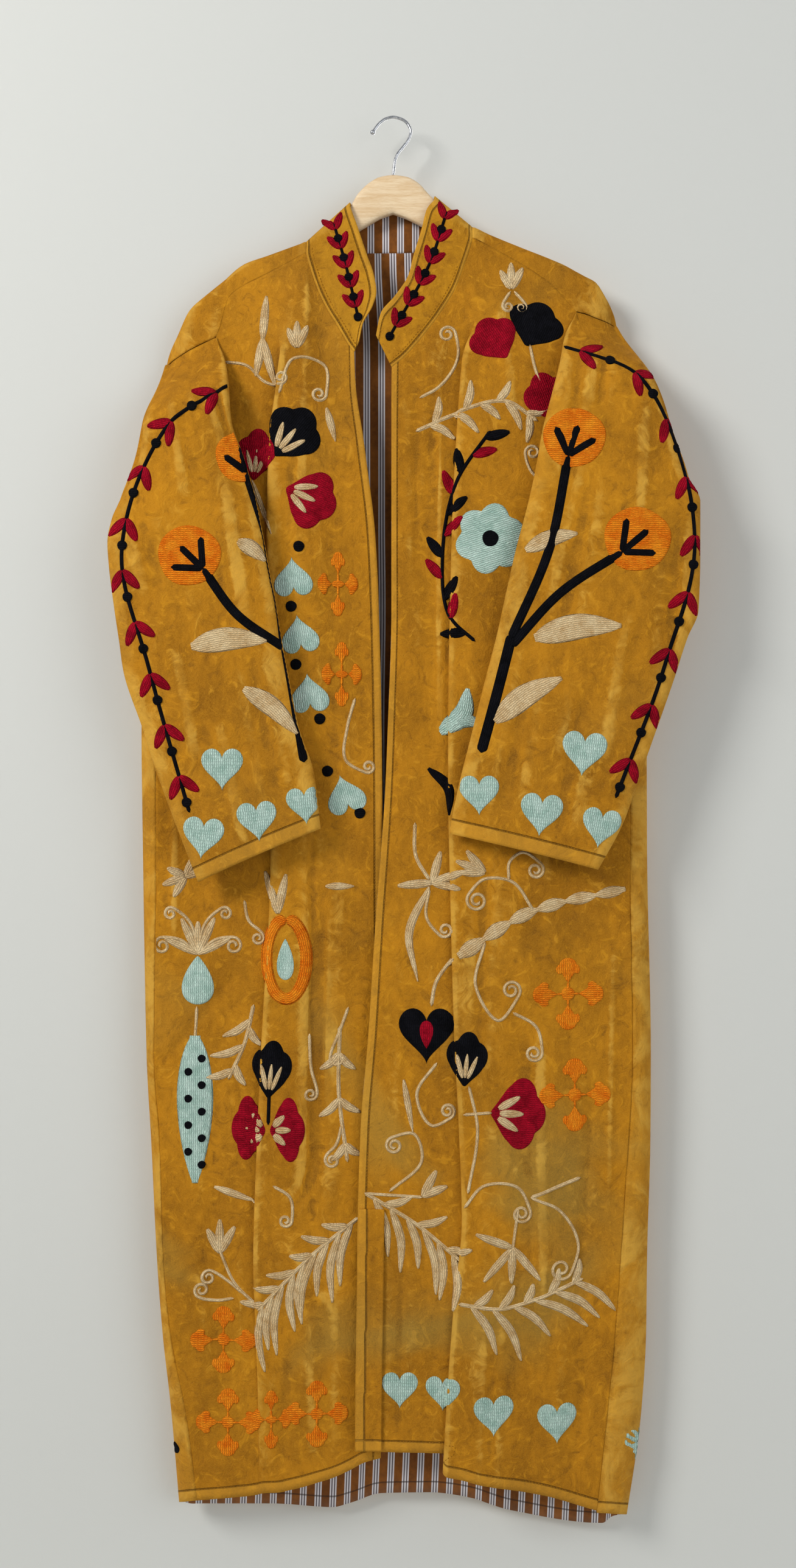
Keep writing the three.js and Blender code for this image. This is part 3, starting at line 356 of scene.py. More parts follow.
# A front's free edge, the edge of its long fold, how far the cloth laps over itself there
# (0 to 1), and the depths of the cloth left and right of the fold.
FRONT_SIDE_Y = -18
FRONTS = {
    "left": {
        "lines": table(
            "z fold right folded deep top",
            (-150, -112, -39, 0, -13, -15), (-215, -116, -39, 0, -14.5, -22),
            (-290, -122, -37.5, 1, -16, -25), (-347, -129, -31, 1, -17, -26),
            (-452, -132, -18.5, 1, -17, -26), (-526, -132, -15, 1, -17, -26),
            (-654, -130, -12, 1, -17, -26), (-782, -127.5, -11, 1, -17, -26),
            (-998, -138, -10, 1, -17, -26), (-1092, -142, -10, 1, -17, -26),
            (-1214, -146, -10, 0.9, -18, -26), (-1295, -144, -11, 0.7, -19, -25),
            (-1377, -142, -12, 0.4, -20, -24), (-1466, -140, -14, 0.2, -21, -23),
        ),
        "before": (0, 0.22, 0.44, 0.66, 0.84),
        "after": (0.1, 0.22, 0.36, 0.52, 0.68, 0.84, 1),
        "left_y": FRONT_SIDE_Y,
        "right_y": -19,
        "hem": table(
            "x z", (-252, -1466), (-158, -1459), (-99, -1455), (-80, -1446), (-59, -1434),
            (-41, -1421),
        ),
        "tops": np.concatenate([
            ARMHOLES["left"]["front"][::-1], SHOULDERS["left"], NECK["left"][::-1, :3],
        ]),
        "broad": table(
            TROUGH,
            (-770, -1200, -77, -79, 9, 4), (-300, -760, -62, -60, 14, 1.5),
            (-470, -900, -213, -208, 16, 2), (-960, -1400, -190, -176, 13, 2.5),
            (-1180, -1440, -58, -70, 15, -2),
        ),
        "fine": table(
            TROUGH,
            (-172, -245, -158, -184, 5, -2.5), (-230, -420, -92, -96, 6, -1.4),
            (-1085, -1160, -72, -104, 6, 1.8), (-1195, -1265, -110, -62, 6, -1.8),
            (-900, -1010, -160, -245, 8, 1.6), (-720, -1010, -84, -86, 3.5, 1.6),
            (-820, -1080, -68, -70, 4, -1.2), (-560, -900, -228, -232, 5, -1.6),
            (-1180, -1330, -205, -180, 7, 1.6), (-1300, -1440, -110, -118, 9, 1.8),
            (-330, -560, -108, -112, 7, 1.1), (-1250, -1430, -88, -84, 8, -1.5),
        ),
    },
    "right": {
        "lines": table(
            "z left fold folded deep top",
            (-130, -1.5, 90, 0, -12, -14), (-190, -1.5, 82, 0, -14, -22),
            (-262, -1.5, 74, 1, -17, -25.5), (-296, -1.8, 71, 1, -17, -26),
            (-430, -1.8, 63.5, 1, -17, -26), (-526, -1.8, 61, 1, -17, -26),
            (-654, -5.7, 59, 1, -20, -28), (-712, -8, 59, 1, -21, -28),
            (-782, -12.7, 60, 1, -25.5, -31.5), (-850, -18, 61.5, 1, -28.5, -36),
            (-974, -26, 65, 1, -29.5, -37), (-1072, -34, 70, 1, -29.5, -37),
            (-1166, -37, 73, 1, -29.5, -37), (-1250, -38, 65, 1, -29.5, -37),
            (-1359, -39.6, 57, 1, -29.5, -37), (-1490, -40.3, 50, 1, -29.5, -37),
        ),
        "before": (0, 0.17, 0.36, 0.55, 0.75, 0.9),
        "after": (0.14, 0.3, 0.46, 0.62, 0.75, 0.88, 1),
        "left_y": None,
        "right_y": FRONT_SIDE_Y,
        "hem": table(
            "x z", (-1.5, -1409), (92, -1411), (119, -1425), (168, -1442), (254, -1477),
        ),
        "tops": np.concatenate([
            NECK["right"][::-1, :3], SHOULDERS["right"][::-1], ARMHOLES["right"]["front"],
        ]),
        "broad": table(
            TROUGH,
            (-260, -760, 37, 44, 12, 2.5), (-820, -1300, 22, 26, 14, 1.5),
            (-500, -1050, 190, 182, 18, 2.5), (-900, -1460, 132, 126, 18, 3),
            (-1120, -1470, 176, 170, 12, -2.5),
        ),
        "fine": table(
            TROUGH,
            (-190, -330, 112, 128, 6, -1.6), (-240, -700, 49, 51, 4, -1.2),
            (-240, -520, 22, 26, 5, 1.0), (-760, -1010, 96, 88, 7, 1.5),
            (-950, -1290, 152, 158, 7, -1.8), (-1010, -1250, 210, 196, 7, 1.8),
            (-1180, -1410, 8, 4, 6, 1.3), (-1250, -1460, 106, 98, 6, 1.6),
            (-880, -960, 10, 48, 7, 1.2), (-1060, -1130, 92, 140, 8, -1.5),
            (-1330, -1460, 200, 186, 8, 1.8), (-860, -1200, 232, 226, 5, -1.6),
        ),
    },
}
# The long fold in section: distances from the fold's edge where the cloth lies open and
# where it laps over, and the shares of the rise from deep to top.
LAP = table(
    "open lapped open_rise rise",
    (-14, -14, 0, 0), (-9, 5, 0.1, 0), (-6, 11, 0.25, 0.16), (-3, 9.5, 0.4, 0.42),
    (0, 2.5, 0.6, 0.56), (3, -0.5, 0.75, 0.78), (7, 2.5, 0.9, 1), (20, 20, 1, 1),
)
SETTLE = 110  # below a line's start, how far it takes to join the level lines
BEHIND_FOLD = 1.5  # how far the lining's line is behind the deep side of the fold
HEM_DEPTH = 6  # how far the lining's hem is above the velvet's
CLOSER_AT_TOP = 1.15  # power of the spacing of rows: above 1, they are closer at the top
CREASED_FROM = 60  # below a line's start, how far its small creases take to come in


def front_lines(front, z, lining=False):
    """x and y of a front's upright lines at heights z (rows by lines): shares of the way
    from the side to the fold, the fold's own section, and shares of the way on from it."""
    at = {**look_up(BODY, "z", z), **look_up(front["lines"], "z", z)}
    left = at["left"] if "left" in front["lines"] else at["seam_left"]
    right = at["right"] if "right" in front["lines"] else at["seam_right"]
    fold, deep, top, folded = (at[name] for name in ("fold", "deep", "top", "folded"))
    left_y = deep if front["left_y"] is None else front["left_y"]
    if lining:
        deep = top = deep + BEHIND_FOLD
        folded = np.zeros_like(folded)
    steps = list(zip(*LAP.values()))
    start, end = fold + steps[0][0], fold + steps[-1][0]
    lines = [(mix(left, start, share), mix(left_y, deep, share)) for share in front["before"]]
    for opened, lapped, open_rise, rise in steps:
        height = mix(deep, top, mix(open_rise, rise, folded))
        lines.append((fold + mix(opened, lapped, folded), height))
    for share in front["after"]:
        lines.append((mix(end, right, share), mix(top, front["right_y"], smooth(share))))
    x, y = (np.stack([line[k][:, c] for c, line in enumerate(lines)], axis=1) for k in (0, 1))
    return x, y + troughs(front["broad"], x, z)


def front_grid(side, rows, every, lining=False):
    """A front as a grid: each upright line runs from its own start on the armhole, shoulder
    or neck, joins the level lines within SETTLE, and ends at the hem."""
    front = FRONTS[side]
    tops = front["tops"]
    down = np.linspace(0, 1, rows)[:, None] ** CLOSER_AT_TOP
    hem = through(front["hem"]["x"], front["hem"]["z"], tops[:, 0])
    z = mix(tops[:, 2], hem + (HEM_DEPTH if lining else 0), down)
    x, y = front_lines(front, z, lining)
    start_x, start_y = front_lines(front, np.tile(tops[:, 2], (2, 1)), lining)
    stay = 1 - smooth((tops[:, 2] - z) / SETTLE)
    x += (tops[:, 0] - start_x[0]) * stay
    y += (tops[:, 1] - start_y[0]) * stay
    grid = np.stack([x, y, z], axis=2)
    grid = refined(grid, spaced(grid, every))
    if not lining:
        x, z = grid[:, :, 0], grid[:, :, 2]
        inward = smooth((z.max(axis=0) - z) / CREASED_FROM)
        grid[:, :, 1] += (troughs(front["fine"], x, z) + ripples(x, z, 0.35)) * inward
    return grid


# ---- Back ----

BACK_Y = 12.5
BACK_HEM = table(
    "x z", (-252, -1484), (-158, -1484), (-84, -1488), (-30, -1473), (30, -1472),
    (77, -1478), (119, -1490), (236, -1505), (254, -1497),
)
BACK_BROAD = table(
    TROUGH, (-420, -1420, -150, -165, 22, 3), (-300, -1460, -62, -58, 18, -2),
    (-360, -1470, 48, 62, 20, 3), (-480, -1400, 150, 171, 24, -2),
)
BACK_FINE = table(
    TROUGH, (-260, -620, -120, -150, 9, -1.5), (-240, -560, 110, 146, 9, -1.6),
    (-700, -1250, -20, -8, 9, 1.4), (-880, -1440, 104, 116, 10, -1.5),
    (-760, -1400, -206, -188, 9, 1.4), (-1120, -1460, 12, 24, 9, -1.4),
    (-560, -1000, 205, 214, 9, -1.4),
)
# A side of the back, coming round to its seam on the front: share of the way from the side
# to the seam, distance in from the side, depth, and how far the hem is above BACK_HEM.
ROUND_SIDE = (
    (1, 0, -18, 18), (0.45, 0, -14.5, 15), (0, 0, -2, 8), (0, 3, 8, 3), (0, 12, 12, 0),
)
FLAT_FROM = 21  # distance from a side to where the back hangs flat
FOOT = (1.5, 4)  # where the level lines begin: forward of BACK_Y, and below the bar's cloth
BEHIND_BAR = (8, -400)  # a line that starts past either one isn't over the bar
CREST_ROWS = 0.09  # share of the rows from a line's start up to the crest over the bar
TO_CREST = 0.02  # on the other lines, the share of their length that the same rows take
HANGING_POINTS = 70  # on an upright line, from its foot to the hem


def thinned(rows):
    """The first row, and every second row from the second on."""
    return rows[[i for i in range(len(rows)) if i == 0 or i % 2]]


BACK_TOPS = np.concatenate([
    ARMHOLES["left"]["back"], ARMHOLES["left"]["top"][1:], thinned(SHOULDERS["left"]),
    NECK["left"][-1:, :3], NECK["back"][:, :3], NECK["right"][:1, :3],
    thinned(SHOULDERS["right"])[::-1], ARMHOLES["right"]["top"][::-1],
    ARMHOLES["right"]["back"][::-1][1:],
])


def back_line(c, z):
    """x and y of the back's upright line c at heights z."""
    at = look_up(BODY, "z", z)
    last = len(BACK_TOPS) - 1
    if c < len(ROUND_SIDE):
        to_seam, inward, y, _ = ROUND_SIDE[c]
        return mix(at["left"] + inward, at["seam_left"], to_seam), np.full(z.shape, float(y))
    if last - c < len(ROUND_SIDE):
        to_seam, inward, y, _ = ROUND_SIDE[last - c]
        return mix(at["right"] - inward, at["seam_right"], to_seam), np.full(z.shape, float(y))
    start, end = ARMHOLES["left"]["top"][0, 0], ARMHOLES["right"]["top"][0, 0]
    share = (BACK_TOPS[c, 0] - start) / (end - start)
    x = mix(at["left"] + FLAT_FROM, at["right"] - FLAT_FROM, share)
    return x, BACK_Y + troughs(BACK_BROAD, x, z)


def back_upright(c, lining):
    """Upright line c of the back, how far along it each of its points is, and how far its
    crest over the bar is. It starts on the armhole, shoulder or neck, goes over the bar if
    it starts in front of it, and hangs to the hem. The lining's starts behind the bar."""
    top = BACK_TOPS[c]
    path, crest = [top], None
    if top[1] <= BEHIND_BAR[0] and top[2] >= BEHIND_BAR[1]:
        ahead = OVER_BAR["y"] > top[1] + SEAM
        over = [(top[0], y, ridge_at(top[0]) - drop)
                for y, drop in zip(OVER_BAR["y"][ahead], OVER_BAR["drop"][ahead])]
        foot = (top[0], BACK_Y - FOOT[0], over[-1][2] - FOOT[1])
        path = [foot] if lining else [top, *over, foot]
        crest = int(np.argmax([point[2] for point in path]))
    foot = path[-1]
    side = min(c, len(BACK_TOPS) - 1 - c)
    rise = ROUND_SIDE[side][3] if side < len(ROUND_SIDE) else 0
    hem = through(BACK_HEM["x"], BACK_HEM["z"], top[:1])[0] + rise
    z = np.linspace(foot[2], hem, HANGING_POINTS)[1:]
    x, y = back_line(c, z)
    start_x, start_y = back_line(c, np.array(foot[2:3]))
    stay = 1 - smooth((foot[2] - z) / SETTLE)
    hanging = np.stack([x + (foot[0] - start_x) * stay, y + (foot[1] - start_y) * stay, z], 1)
    path = np.concatenate([np.array(path, float), hanging])
    along = distances(path)
    return path, along, along[crest] if crest else TO_CREST * along[-1]


def back_grid(rows, every, lining=False):
    """The back as a grid, its upright lines sampled by their length."""
    share = np.linspace(0, 1, rows)
    up = np.minimum(share / CREST_ROWS, 1)
    down = ((share - CREST_ROWS) / (1 - CREST_ROWS)).clip(0) ** CLOSER_AT_TOP
    lines = []
    for c in range(len(BACK_TOPS)):
        path, along, crest = back_upright(c, lining)
        lines.append(through(along, path, crest * up + (along[-1] - crest) * down))
    grid = np.stack(lines, axis=1)
    grid = refined(grid, spaced(grid, every))
    if not lining:
        x, z = grid[:, :, 0], grid[:, :, 2]
        behind = smooth((grid[:, :, 1] - 4) / 6) * smooth((z.max(axis=0) - z) / CREASED_FROM)
        grid[:, :, 1] += (troughs(BACK_FINE, x, z) + ripples(x, z, 0.3)) * behind
    return grid


# ---- Collar ----

# x of the collar's seam and of its free edge, where it goes over the bar.
COLLAR_ON_BAR = {"left": (-91.4, -45.5), "right": (83.4, 44)}


def collar_rows():
    """The neck seam and the collar's free edge, from the left tip round the neck to the
    right end, with the stretches that go over the bar (x, y, z, free x, free y, free z)."""
    def over(x, free_x):
        y, drop = OVER_BAR["y"], OVER_BAR["drop"]
        ones = np.ones(len(y))
        return np.stack([
            x * ones, y, ridge_at(x) - drop, free_x * ones, y, ridge_at(free_x) - drop,
        ], axis=1)
    left, right = over(*COLLAR_ON_BAR["left"]), over(*COLLAR_ON_BAR["right"])[::-1]
    return np.concatenate([NECK["left"], left, NECK["back"], right, NECK["right"]])


def collar_grid(rows, steps, every):
    """The collar: a straight blend from its free edge to its seam, kept on the ridge where
    it goes over the bar."""
    share = np.linspace(0, 1, steps)[:, None, None]
    grid = mix(rows[:, 3:], rows[:, :3], share)
    return refined(grid, spaced(grid, every))


# ---- Sleeves ----

SLEEVE_Y = -43  # a sleeve's middle plane
SLEEVE_HALF = 9  # from its middle plane to each wall
ROUNDNESS = 0.35  # power of its section, which is an ellipse at 0.5 and squarer below
FRONT_LINES = 8  # steps between the upright lines of its front wall
CLEAR_OF_BACK = 3  # from the back's cloth to the sleeve's at the armhole
LYING_ON = VELVET + SEAM  # from the middle of one cloth to that of the next, laid on it
CROSSING = (170, 75)  # below a line's start, how far its x and its y take to settle
SLEEVES = {
    "left": {
        "out": -1,
        "edges": table(
            "z outer inner",
            (-237, -232, -186), (-264, -241, -176), (-300, -249, -170), (-332, -257, -168),
            (-373, -264, -155), (-412, -280, -144), (-436, -291, -139), (-460, -295.5, -134),
            (-484, -294, -130), (-524, -289, -122), (-565, -283, -115.5), (-593, -279, -110),
            (-650, -260, -99), (-698, -244.5, -83), (-755, -223.5, -76), (-812, -201.5, -68),
        ),
        "cuff": (-812, -757),
        "folds": table(
            TROUGH,
            (-240, -330, -214, -196, 5, 3), (-286, -372, -188, -164, 5, 3.2),
            (-300, -420, -232, -214, 8, -2.2), (-380, -560, -176, -150, 10, -1.8),
            (-430, -520, -262, -240, 8, 1.6), (-560, -740, -150, -118, 9, 1.8),
            (-560, -700, -226, -200, 9, -1.8), (-640, -790, -180, -150, 8, -1.6),
        ),
    },
    "right": {
        "out": 1,
        "edges": table(
            "z outer inner",
            (-210, 232, 194), (-238, 246, 181), (-273, 262, 173.5), (-309, 278, 164.5),
            (-345, 289, 155.5), (-392, 305, 147.5), (-417, 318, 142), (-475, 318, 126.5),
            (-531, 316, 114), (-558, 305, 108), (-604, 290, 96), (-664, 269, 81),
            (-712, 252, 69), (-751, 238, 61), (-801, 211, 54),
        ),
        "cuff": (-799, -762),
        "folds": table(
            TROUGH,
            (-225, -330, 222, 214, 6, 2.6), (-250, -420, 196, 176, 7, 2.8),
            (-300, -470, 262, 252, 10, -2), (-380, -560, 206, 172, 9, 2),
            (-520, -700, 244, 214, 10, -1.8), (-560, -760, 148, 110, 9, 2),
            (-600, -780, 200, 168, 9, 1.8), (-420, -600, 296, 284, 7, 1.4),
        ),
    },
}


def sleeve_starts(side):
    """Where each upright line of a sleeve starts, which wall it is on (-1 front, 1 back) and
    its share of the way across: over the armhole's top, then back under it and behind it."""
    armhole, out = ARMHOLES[side], SLEEVES[side]["out"]

    def aside(start, x, y, z, length=LYING_ON):
        return start + unit(np.array([x, y, z], float)) * length

    top = armhole["top"]
    lines = []
    for i in range(FRONT_LINES + 1):
        share = (1 - np.cos(np.pi * i / FRONT_LINES)) / 2
        place = share * (len(top) - 1)
        start = np.array([np.interp(place, range(len(top)), top[:, k]) for k in range(3)])
        if i == 0:
            start = aside(start, out, -0.5, -0.3, CLEAR_OF_BACK)
        else:
            start = aside(start, 0, -1, -1, LYING_ON + SEAM)
        lines.append((*start, -1, share))
    under, behind = armhole["front"][1:], armhole["back"][1:-1]
    rest = np.concatenate([under, behind])
    for i, row in enumerate(rest):
        share = (1 + np.cos(np.pi * (i + 1) / (len(rest) + 1))) / 2
        if i < len(under) - 1:
            start = aside(row, 0, -1, 0)
        else:
            start = aside(row, out, -1 if row[1] < -5 else 0, 0, CLEAR_OF_BACK)
        lines.append((*start, 1, share))
    return np.array(lines).T


def sleeve_grid(side, rows, every):
    """A sleeve as a flattened tube: at each height its lines lie between its two edges, on
    two walls that bulge apart, and near the top they run to their starts on the armhole."""
    sleeve = SLEEVES[side]
    start_x, start_y, start_z, wall, across = sleeve_starts(side)

    def place(z):
        edge = look_up(sleeve["edges"], "z", z)
        bulge = SLEEVE_HALF * (4 * across * (1 - across)) ** ROUNDNESS
        return mix(edge["outer"], edge["inner"], across), SLEEVE_Y + wall * bulge + 0 * z

    z = mix(start_z, mix(*sleeve["cuff"], across), np.linspace(0, 1, rows)[:, None])
    x, y = place(z)
    first_x, first_y = place(np.tile(start_z, (2, 1)))
    fallen = start_z - z
    x = x + (start_x - first_x[0]) * (1 - smooth(fallen / CROSSING[0]))
    y = y + (start_y - first_y[0]) * (1 - smooth(fallen / CROSSING[1]))
    grid = np.stack([x, y, z], axis=2)
    looped = np.concatenate([grid, grid[:, :1]], axis=1)
    grid = refined(grid, spaced(looped, every)[:-1], ring=True)
    x, y, z = np.moveaxis(grid, 2, 0)
    front_wall = smooth((SLEEVE_Y - y + 2) / 6) * smooth((z.max(axis=0) - z) / 50)
    relief = troughs(sleeve["folds"], x, z) + ripples(x, z, 0.35)
    grid[:, :, 1] += relief * front_wall
    return grid


# ---- Cloth pieces ----

def hung(piece, node, finish):
    """Gives a piece its finish and slot, and seats it in the robe's body in a node's place."""
    piece.data.materials.append(finish)
    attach(piece, "root")
    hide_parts(node)


# How far in from its edge each line is sewn.
HEM_LINE = 11.5
EDGE_LINE = 8.5
CUFF_LINE = 15
COLLAR_LINES = (6.5, 3.5)  # from the free edge, and from the seam
# Each cloth's rows from top to bottom, and how far apart its points are across.
MESH = {
    "front": (210, 3.2), "front_lining": (80, 7), "back": (190, 5.2), "back_lining": (100, 8),
    "collar": (24, 2.6), "collar_lining": (20, 3), "sleeve": (170, 3.4),
}
CUFF_ROWS = slice(-11, -1)  # the sleeve's rows that the cuff's lining is laid behind
cloth = {}
outer = {}
for side in FRONTS:
    name = f"front_{side}"
    opening = "right" if side == "left" else "left"
    cloth[name], outer[name] = shell(
        f"velvet_{name}", front_grid(side, *MESH["front"]), VELVET, turned=True,
        sewn=(opening, EDGE_LINE, "bottom", HEM_LINE))
    lining = front_grid(side, *MESH["front_lining"], lining=True)
    cloth[f"{name}_lining"], _ = shell(f"cotton_{name}", lining, LINING, True, offset=BENEATH)
cloth["back"], outer["back"] = shell(
    "velvet_back", back_grid(*MESH["back"]), VELVET, sewn=(None, 0, "bottom", HEM_LINE))
cloth["back_lining"], _ = shell(
    "cotton_back", back_grid(*MESH["back_lining"], lining=True), LINING, offset=BENEATH,
    sewn=(None, 0, "bottom", HEM_LINE))
cloth["collar"], outer["collar"] = shell(
    "velvet_collar", collar_grid(collar_rows(), *MESH["collar"]), VELVET,
    sewn=("top", COLLAR_LINES[0], "bottom", COLLAR_LINES[1]))
cloth["collar_lining"], _ = shell(
    "cotton_collar", collar_grid(NECK["back"][1:-1], *MESH["collar_lining"]), LINING,
    offset=BENEATH)
for side, sleeve in SLEEVES.items():
    turned = sleeve["out"] < 0
    name = f"sleeve_{side}"
    grid = sleeve_grid(side, *MESH["sleeve"])
    cloth[name], outer[name] = shell(
        f"velvet_{name}", grid, VELVET, turned, ring=True, sewn=(None, 0, "bottom", CUFF_LINE))
    cloth[f"cuff_{side}_lining"], _ = shell(
        f"cotton_cuff_{side}", grid[CUFF_ROWS], LINING, turned, ring=True, offset=BENEATH)


# ---- Shader parts ----

def srgb(code):
    """A linear colour with alpha from a six-digit colour code."""
    value = np.array([int(code[i:i + 2], 16) for i in (0, 2, 4)]) / 255
    linear = np.where(value <= 0.04045, value / 12.92, ((value + 0.055) / 1.055) ** 2.4)
    return (*linear.tolist(), 1.0)


class Nodes:
    """Short names for building a node tree."""

    def __init__(self, tree):
        self.tree = tree

    def add(self, kind, **settings):
        """A node; settings name its properties, and `inputs` its sockets' values or links."""
        node = self.tree.nodes.new(kind)
        inputs = settings.pop("inputs", {})
        for name, value in settings.items():
            setattr(node, name, value)
        for name, value in inputs.items():
            if isinstance(value, bpy.types.NodeSocket):
                self.tree.links.new(value, node.inputs[name])
            else:
                node.inputs[name].default_value = value
        return node

    def math(self, operation, a, b=0.0, clamp=False):
        return self.add(
            "ShaderNodeMath", operation=operation, use_clamp=clamp, inputs={0: a, 1: b},
        ).outputs[0]

    def noise(self, vector, scale, detail=3.0, roughness=0.55, distortion=0.0):
        return self.add("ShaderNodeTexNoise", inputs={
            "Vector": vector, "Scale": scale, "Detail": detail, "Roughness": roughness,
            "Distortion": distortion,
        }).outputs["Fac"]

    def span(self, value, low, high, to_low=0.0, to_high=1.0):
        """The value's range low to high, made to_low to to_high, and held there."""
        return self.add("ShaderNodeMapRange", interpolation_type="SMOOTHSTEP", inputs={
            "Value": value, "From Min": low, "From Max": high, "To Min": to_low, "To Max": to_high,
        }).outputs[0]

    def blend(self, factor, a, b, kind="MIX"):
        node = self.add("ShaderNodeMix", data_type="RGBA", blend_type=kind)
        for socket, value in ((node.inputs[0], factor), (node.inputs[6], a), (node.inputs[7], b)):
            if isinstance(value, bpy.types.NodeSocket):
                self.tree.links.new(value, socket)
            else:
                socket.default_value = value
        return node.outputs[2]

    def stretched(self, vector, x, y, z):
        return self.add("ShaderNodeMapping", inputs={
            "Vector": vector, "Scale": (x, y, z),
        }).outputs[0]


def node_group(name, inputs, outputs, build):
    """A shader node group with named inputs and outputs, filled by build(nodes, inside)."""
    group = bpy.data.node_groups.new(name, "ShaderNodeTree")
    for label, kind, default in inputs:
        socket = group.interface.new_socket(label, in_out="INPUT", socket_type=kind)
        if default is not None:
            socket.default_value = default
    for label, kind in outputs:
        group.interface.new_socket(label, in_out="OUTPUT", socket_type=kind)
    nodes = Nodes(group)
    inside = nodes.add("NodeGroupInput").outputs
    out = nodes.add("NodeGroupOutput")
    for label, socket in build(nodes, inside).items():
        group.links.new(socket, out.inputs[label])
    return group


def build_uneven(nodes, inside):
    """Colour that drifts in soft clouds: two sizes of noise between a dark and a light."""
    broad = nodes.noise(inside["Place"], inside["Clouds"], 4, 0.6, 0.4)
    small = nodes.noise(inside["Place"], inside["Flecks"], 3, 0.6)
    parts = nodes.math("MULTIPLY", broad, 0.65), nodes.math("MULTIPLY", small, 0.35)
    both = nodes.math("ADD", *parts)
    share = nodes.span(both, 0.3, 0.7)
    return {"Colour": nodes.blend(share, inside["Dark"], inside["Light"])}


def build_chain(nodes, inside):
    """Rows of chain stitch: each stitch is a rounded loop that meets the next in a V, worked
    out from its distance along the row, which leans back towards the row's middle."""
    part = nodes.add("ShaderNodeSeparateXYZ", inputs={"Vector": inside["Flat place"]}).outputs
    row = nodes.math("DIVIDE", part[0], inside["Row"])
    in_row = nodes.math("ABSOLUTE", nodes.math("SUBTRACT", nodes.math("FRACT", row), 0.5))
    lean = nodes.math("MULTIPLY", in_row, 1.1)
    along = nodes.math("ADD", nodes.math("DIVIDE", part[1], inside["Stitch"]), lean)
    in_stitch = nodes.math("ABSOLUTE", nodes.math("SUBTRACT", nodes.math("FRACT", along), 0.5))
    round_row = nodes.span(in_row, 0.5, 0.12)
    round_stitch = nodes.span(in_stitch, 0.5, 0.2)
    height = nodes.math("MULTIPLY", round_row, nodes.math("ADD", nodes.math(
        "MULTIPLY", round_stitch, 0.6), 0.4))
    return {"Height": height}


def build_threads(nodes, inside):
    """Plain weave: warp and weft threads as two crossed waves."""
    part = nodes.add("ShaderNodeSeparateXYZ", inputs={"Vector": inside["Flat place"]}).outputs
    turns = [nodes.math("MULTIPLY", part[k], inside["Threads"]) for k in (0, 1)]
    waves = [nodes.math("SINE", turn) for turn in turns]
    return {"Height": nodes.math("MULTIPLY", waves[0], waves[1])}


UNEVEN = node_group(
    "uneven colour",
    [("Place", "NodeSocketVector", None), ("Clouds", "NodeSocketFloat", 20.0),
     ("Flecks", "NodeSocketFloat", 200.0), ("Dark", "NodeSocketColor", None),
     ("Light", "NodeSocketColor", None)],
    [("Colour", "NodeSocketColor")], build_uneven,
)
CHAIN = node_group(
    "chain stitch",
    [("Flat place", "NodeSocketVector", None), ("Row", "NodeSocketFloat", 0.0024),
     ("Stitch", "NodeSocketFloat", 0.004)],
    [("Height", "NodeSocketFloat")], build_chain,
)
THREADS = node_group(
    "plain weave",
    [("Flat place", "NodeSocketVector", None), ("Threads", "NodeSocketFloat", 9000.0)],
    [("Height", "NodeSocketFloat")], build_threads,
)


def new_material(name):
    """A node material with its shader: (material, nodes, shader, object place, flat place)."""
    material = bpy.data.materials.new(name)
    material.use_nodes = True
    nodes = Nodes(material.node_tree)
    shader = material.node_tree.nodes["Principled BSDF"]
    place = nodes.add("ShaderNodeTexCoord").outputs["Object"]
    flat = nodes.add("ShaderNodeUVMap", uv_map="cloth").outputs[0]
    return material, nodes, shader, place, flat


def set_up(shader, **values):
    """Sets a shader's inputs by name, with an underscore for each space."""
    for name, value in values.items():
        shader.inputs[name.replace("_", " ")].default_value = value


def join(nodes, value, socket):
    nodes.tree.links.new(value, socket)


def uneven(nodes, place, clouds, flecks, dark, light):
    """The uneven colour between two colour codes: scales of its clouds and of its flecks."""
    return nodes.add("ShaderNodeGroup", node_tree=UNEVEN, inputs={
        "Place": place, "Clouds": clouds, "Flecks": flecks, "Dark": srgb(dark),
        "Light": srgb(light),
    }).outputs


def bump(nodes, height, strength, distance, under=None):
    """A normal roughened by a height, on top of the normal `under` if there is one."""
    inputs = {"Height": height, "Strength": strength, "Distance": distance}
    if under is not None:
        inputs["Normal"] = under
    return nodes.add("ShaderNodeBump", inputs=inputs).outputs[0]


# ---- Finishes ----

def creased(nodes, colour, shade):
    """A cloth's colour with painted shade along its sewn lines, where they sink in a crease, and
    the lines' height.
    """
    part = nodes.add("ShaderNodeSeparateXYZ", inputs={
        "Vector": nodes.add("ShaderNodeUVMap", uv_map="sewn").outputs[0],
    }).outputs
    off = nodes.math("MINIMUM", *(nodes.math("ABSOLUTE", part[k]) for k in (0, 1)))
    line = nodes.span(off, 0.0014, 0.0003)
    turned_in = nodes.span(nodes.math("MINIMUM", part[0], part[1]), 0.0, -0.001)
    # Painted shade: the colour darkened towards the shade colour along the sewn lines.
    return nodes.blend(nodes.math("MULTIPLY", line, 0.7), colour, srgb(shade)), line, turned_in


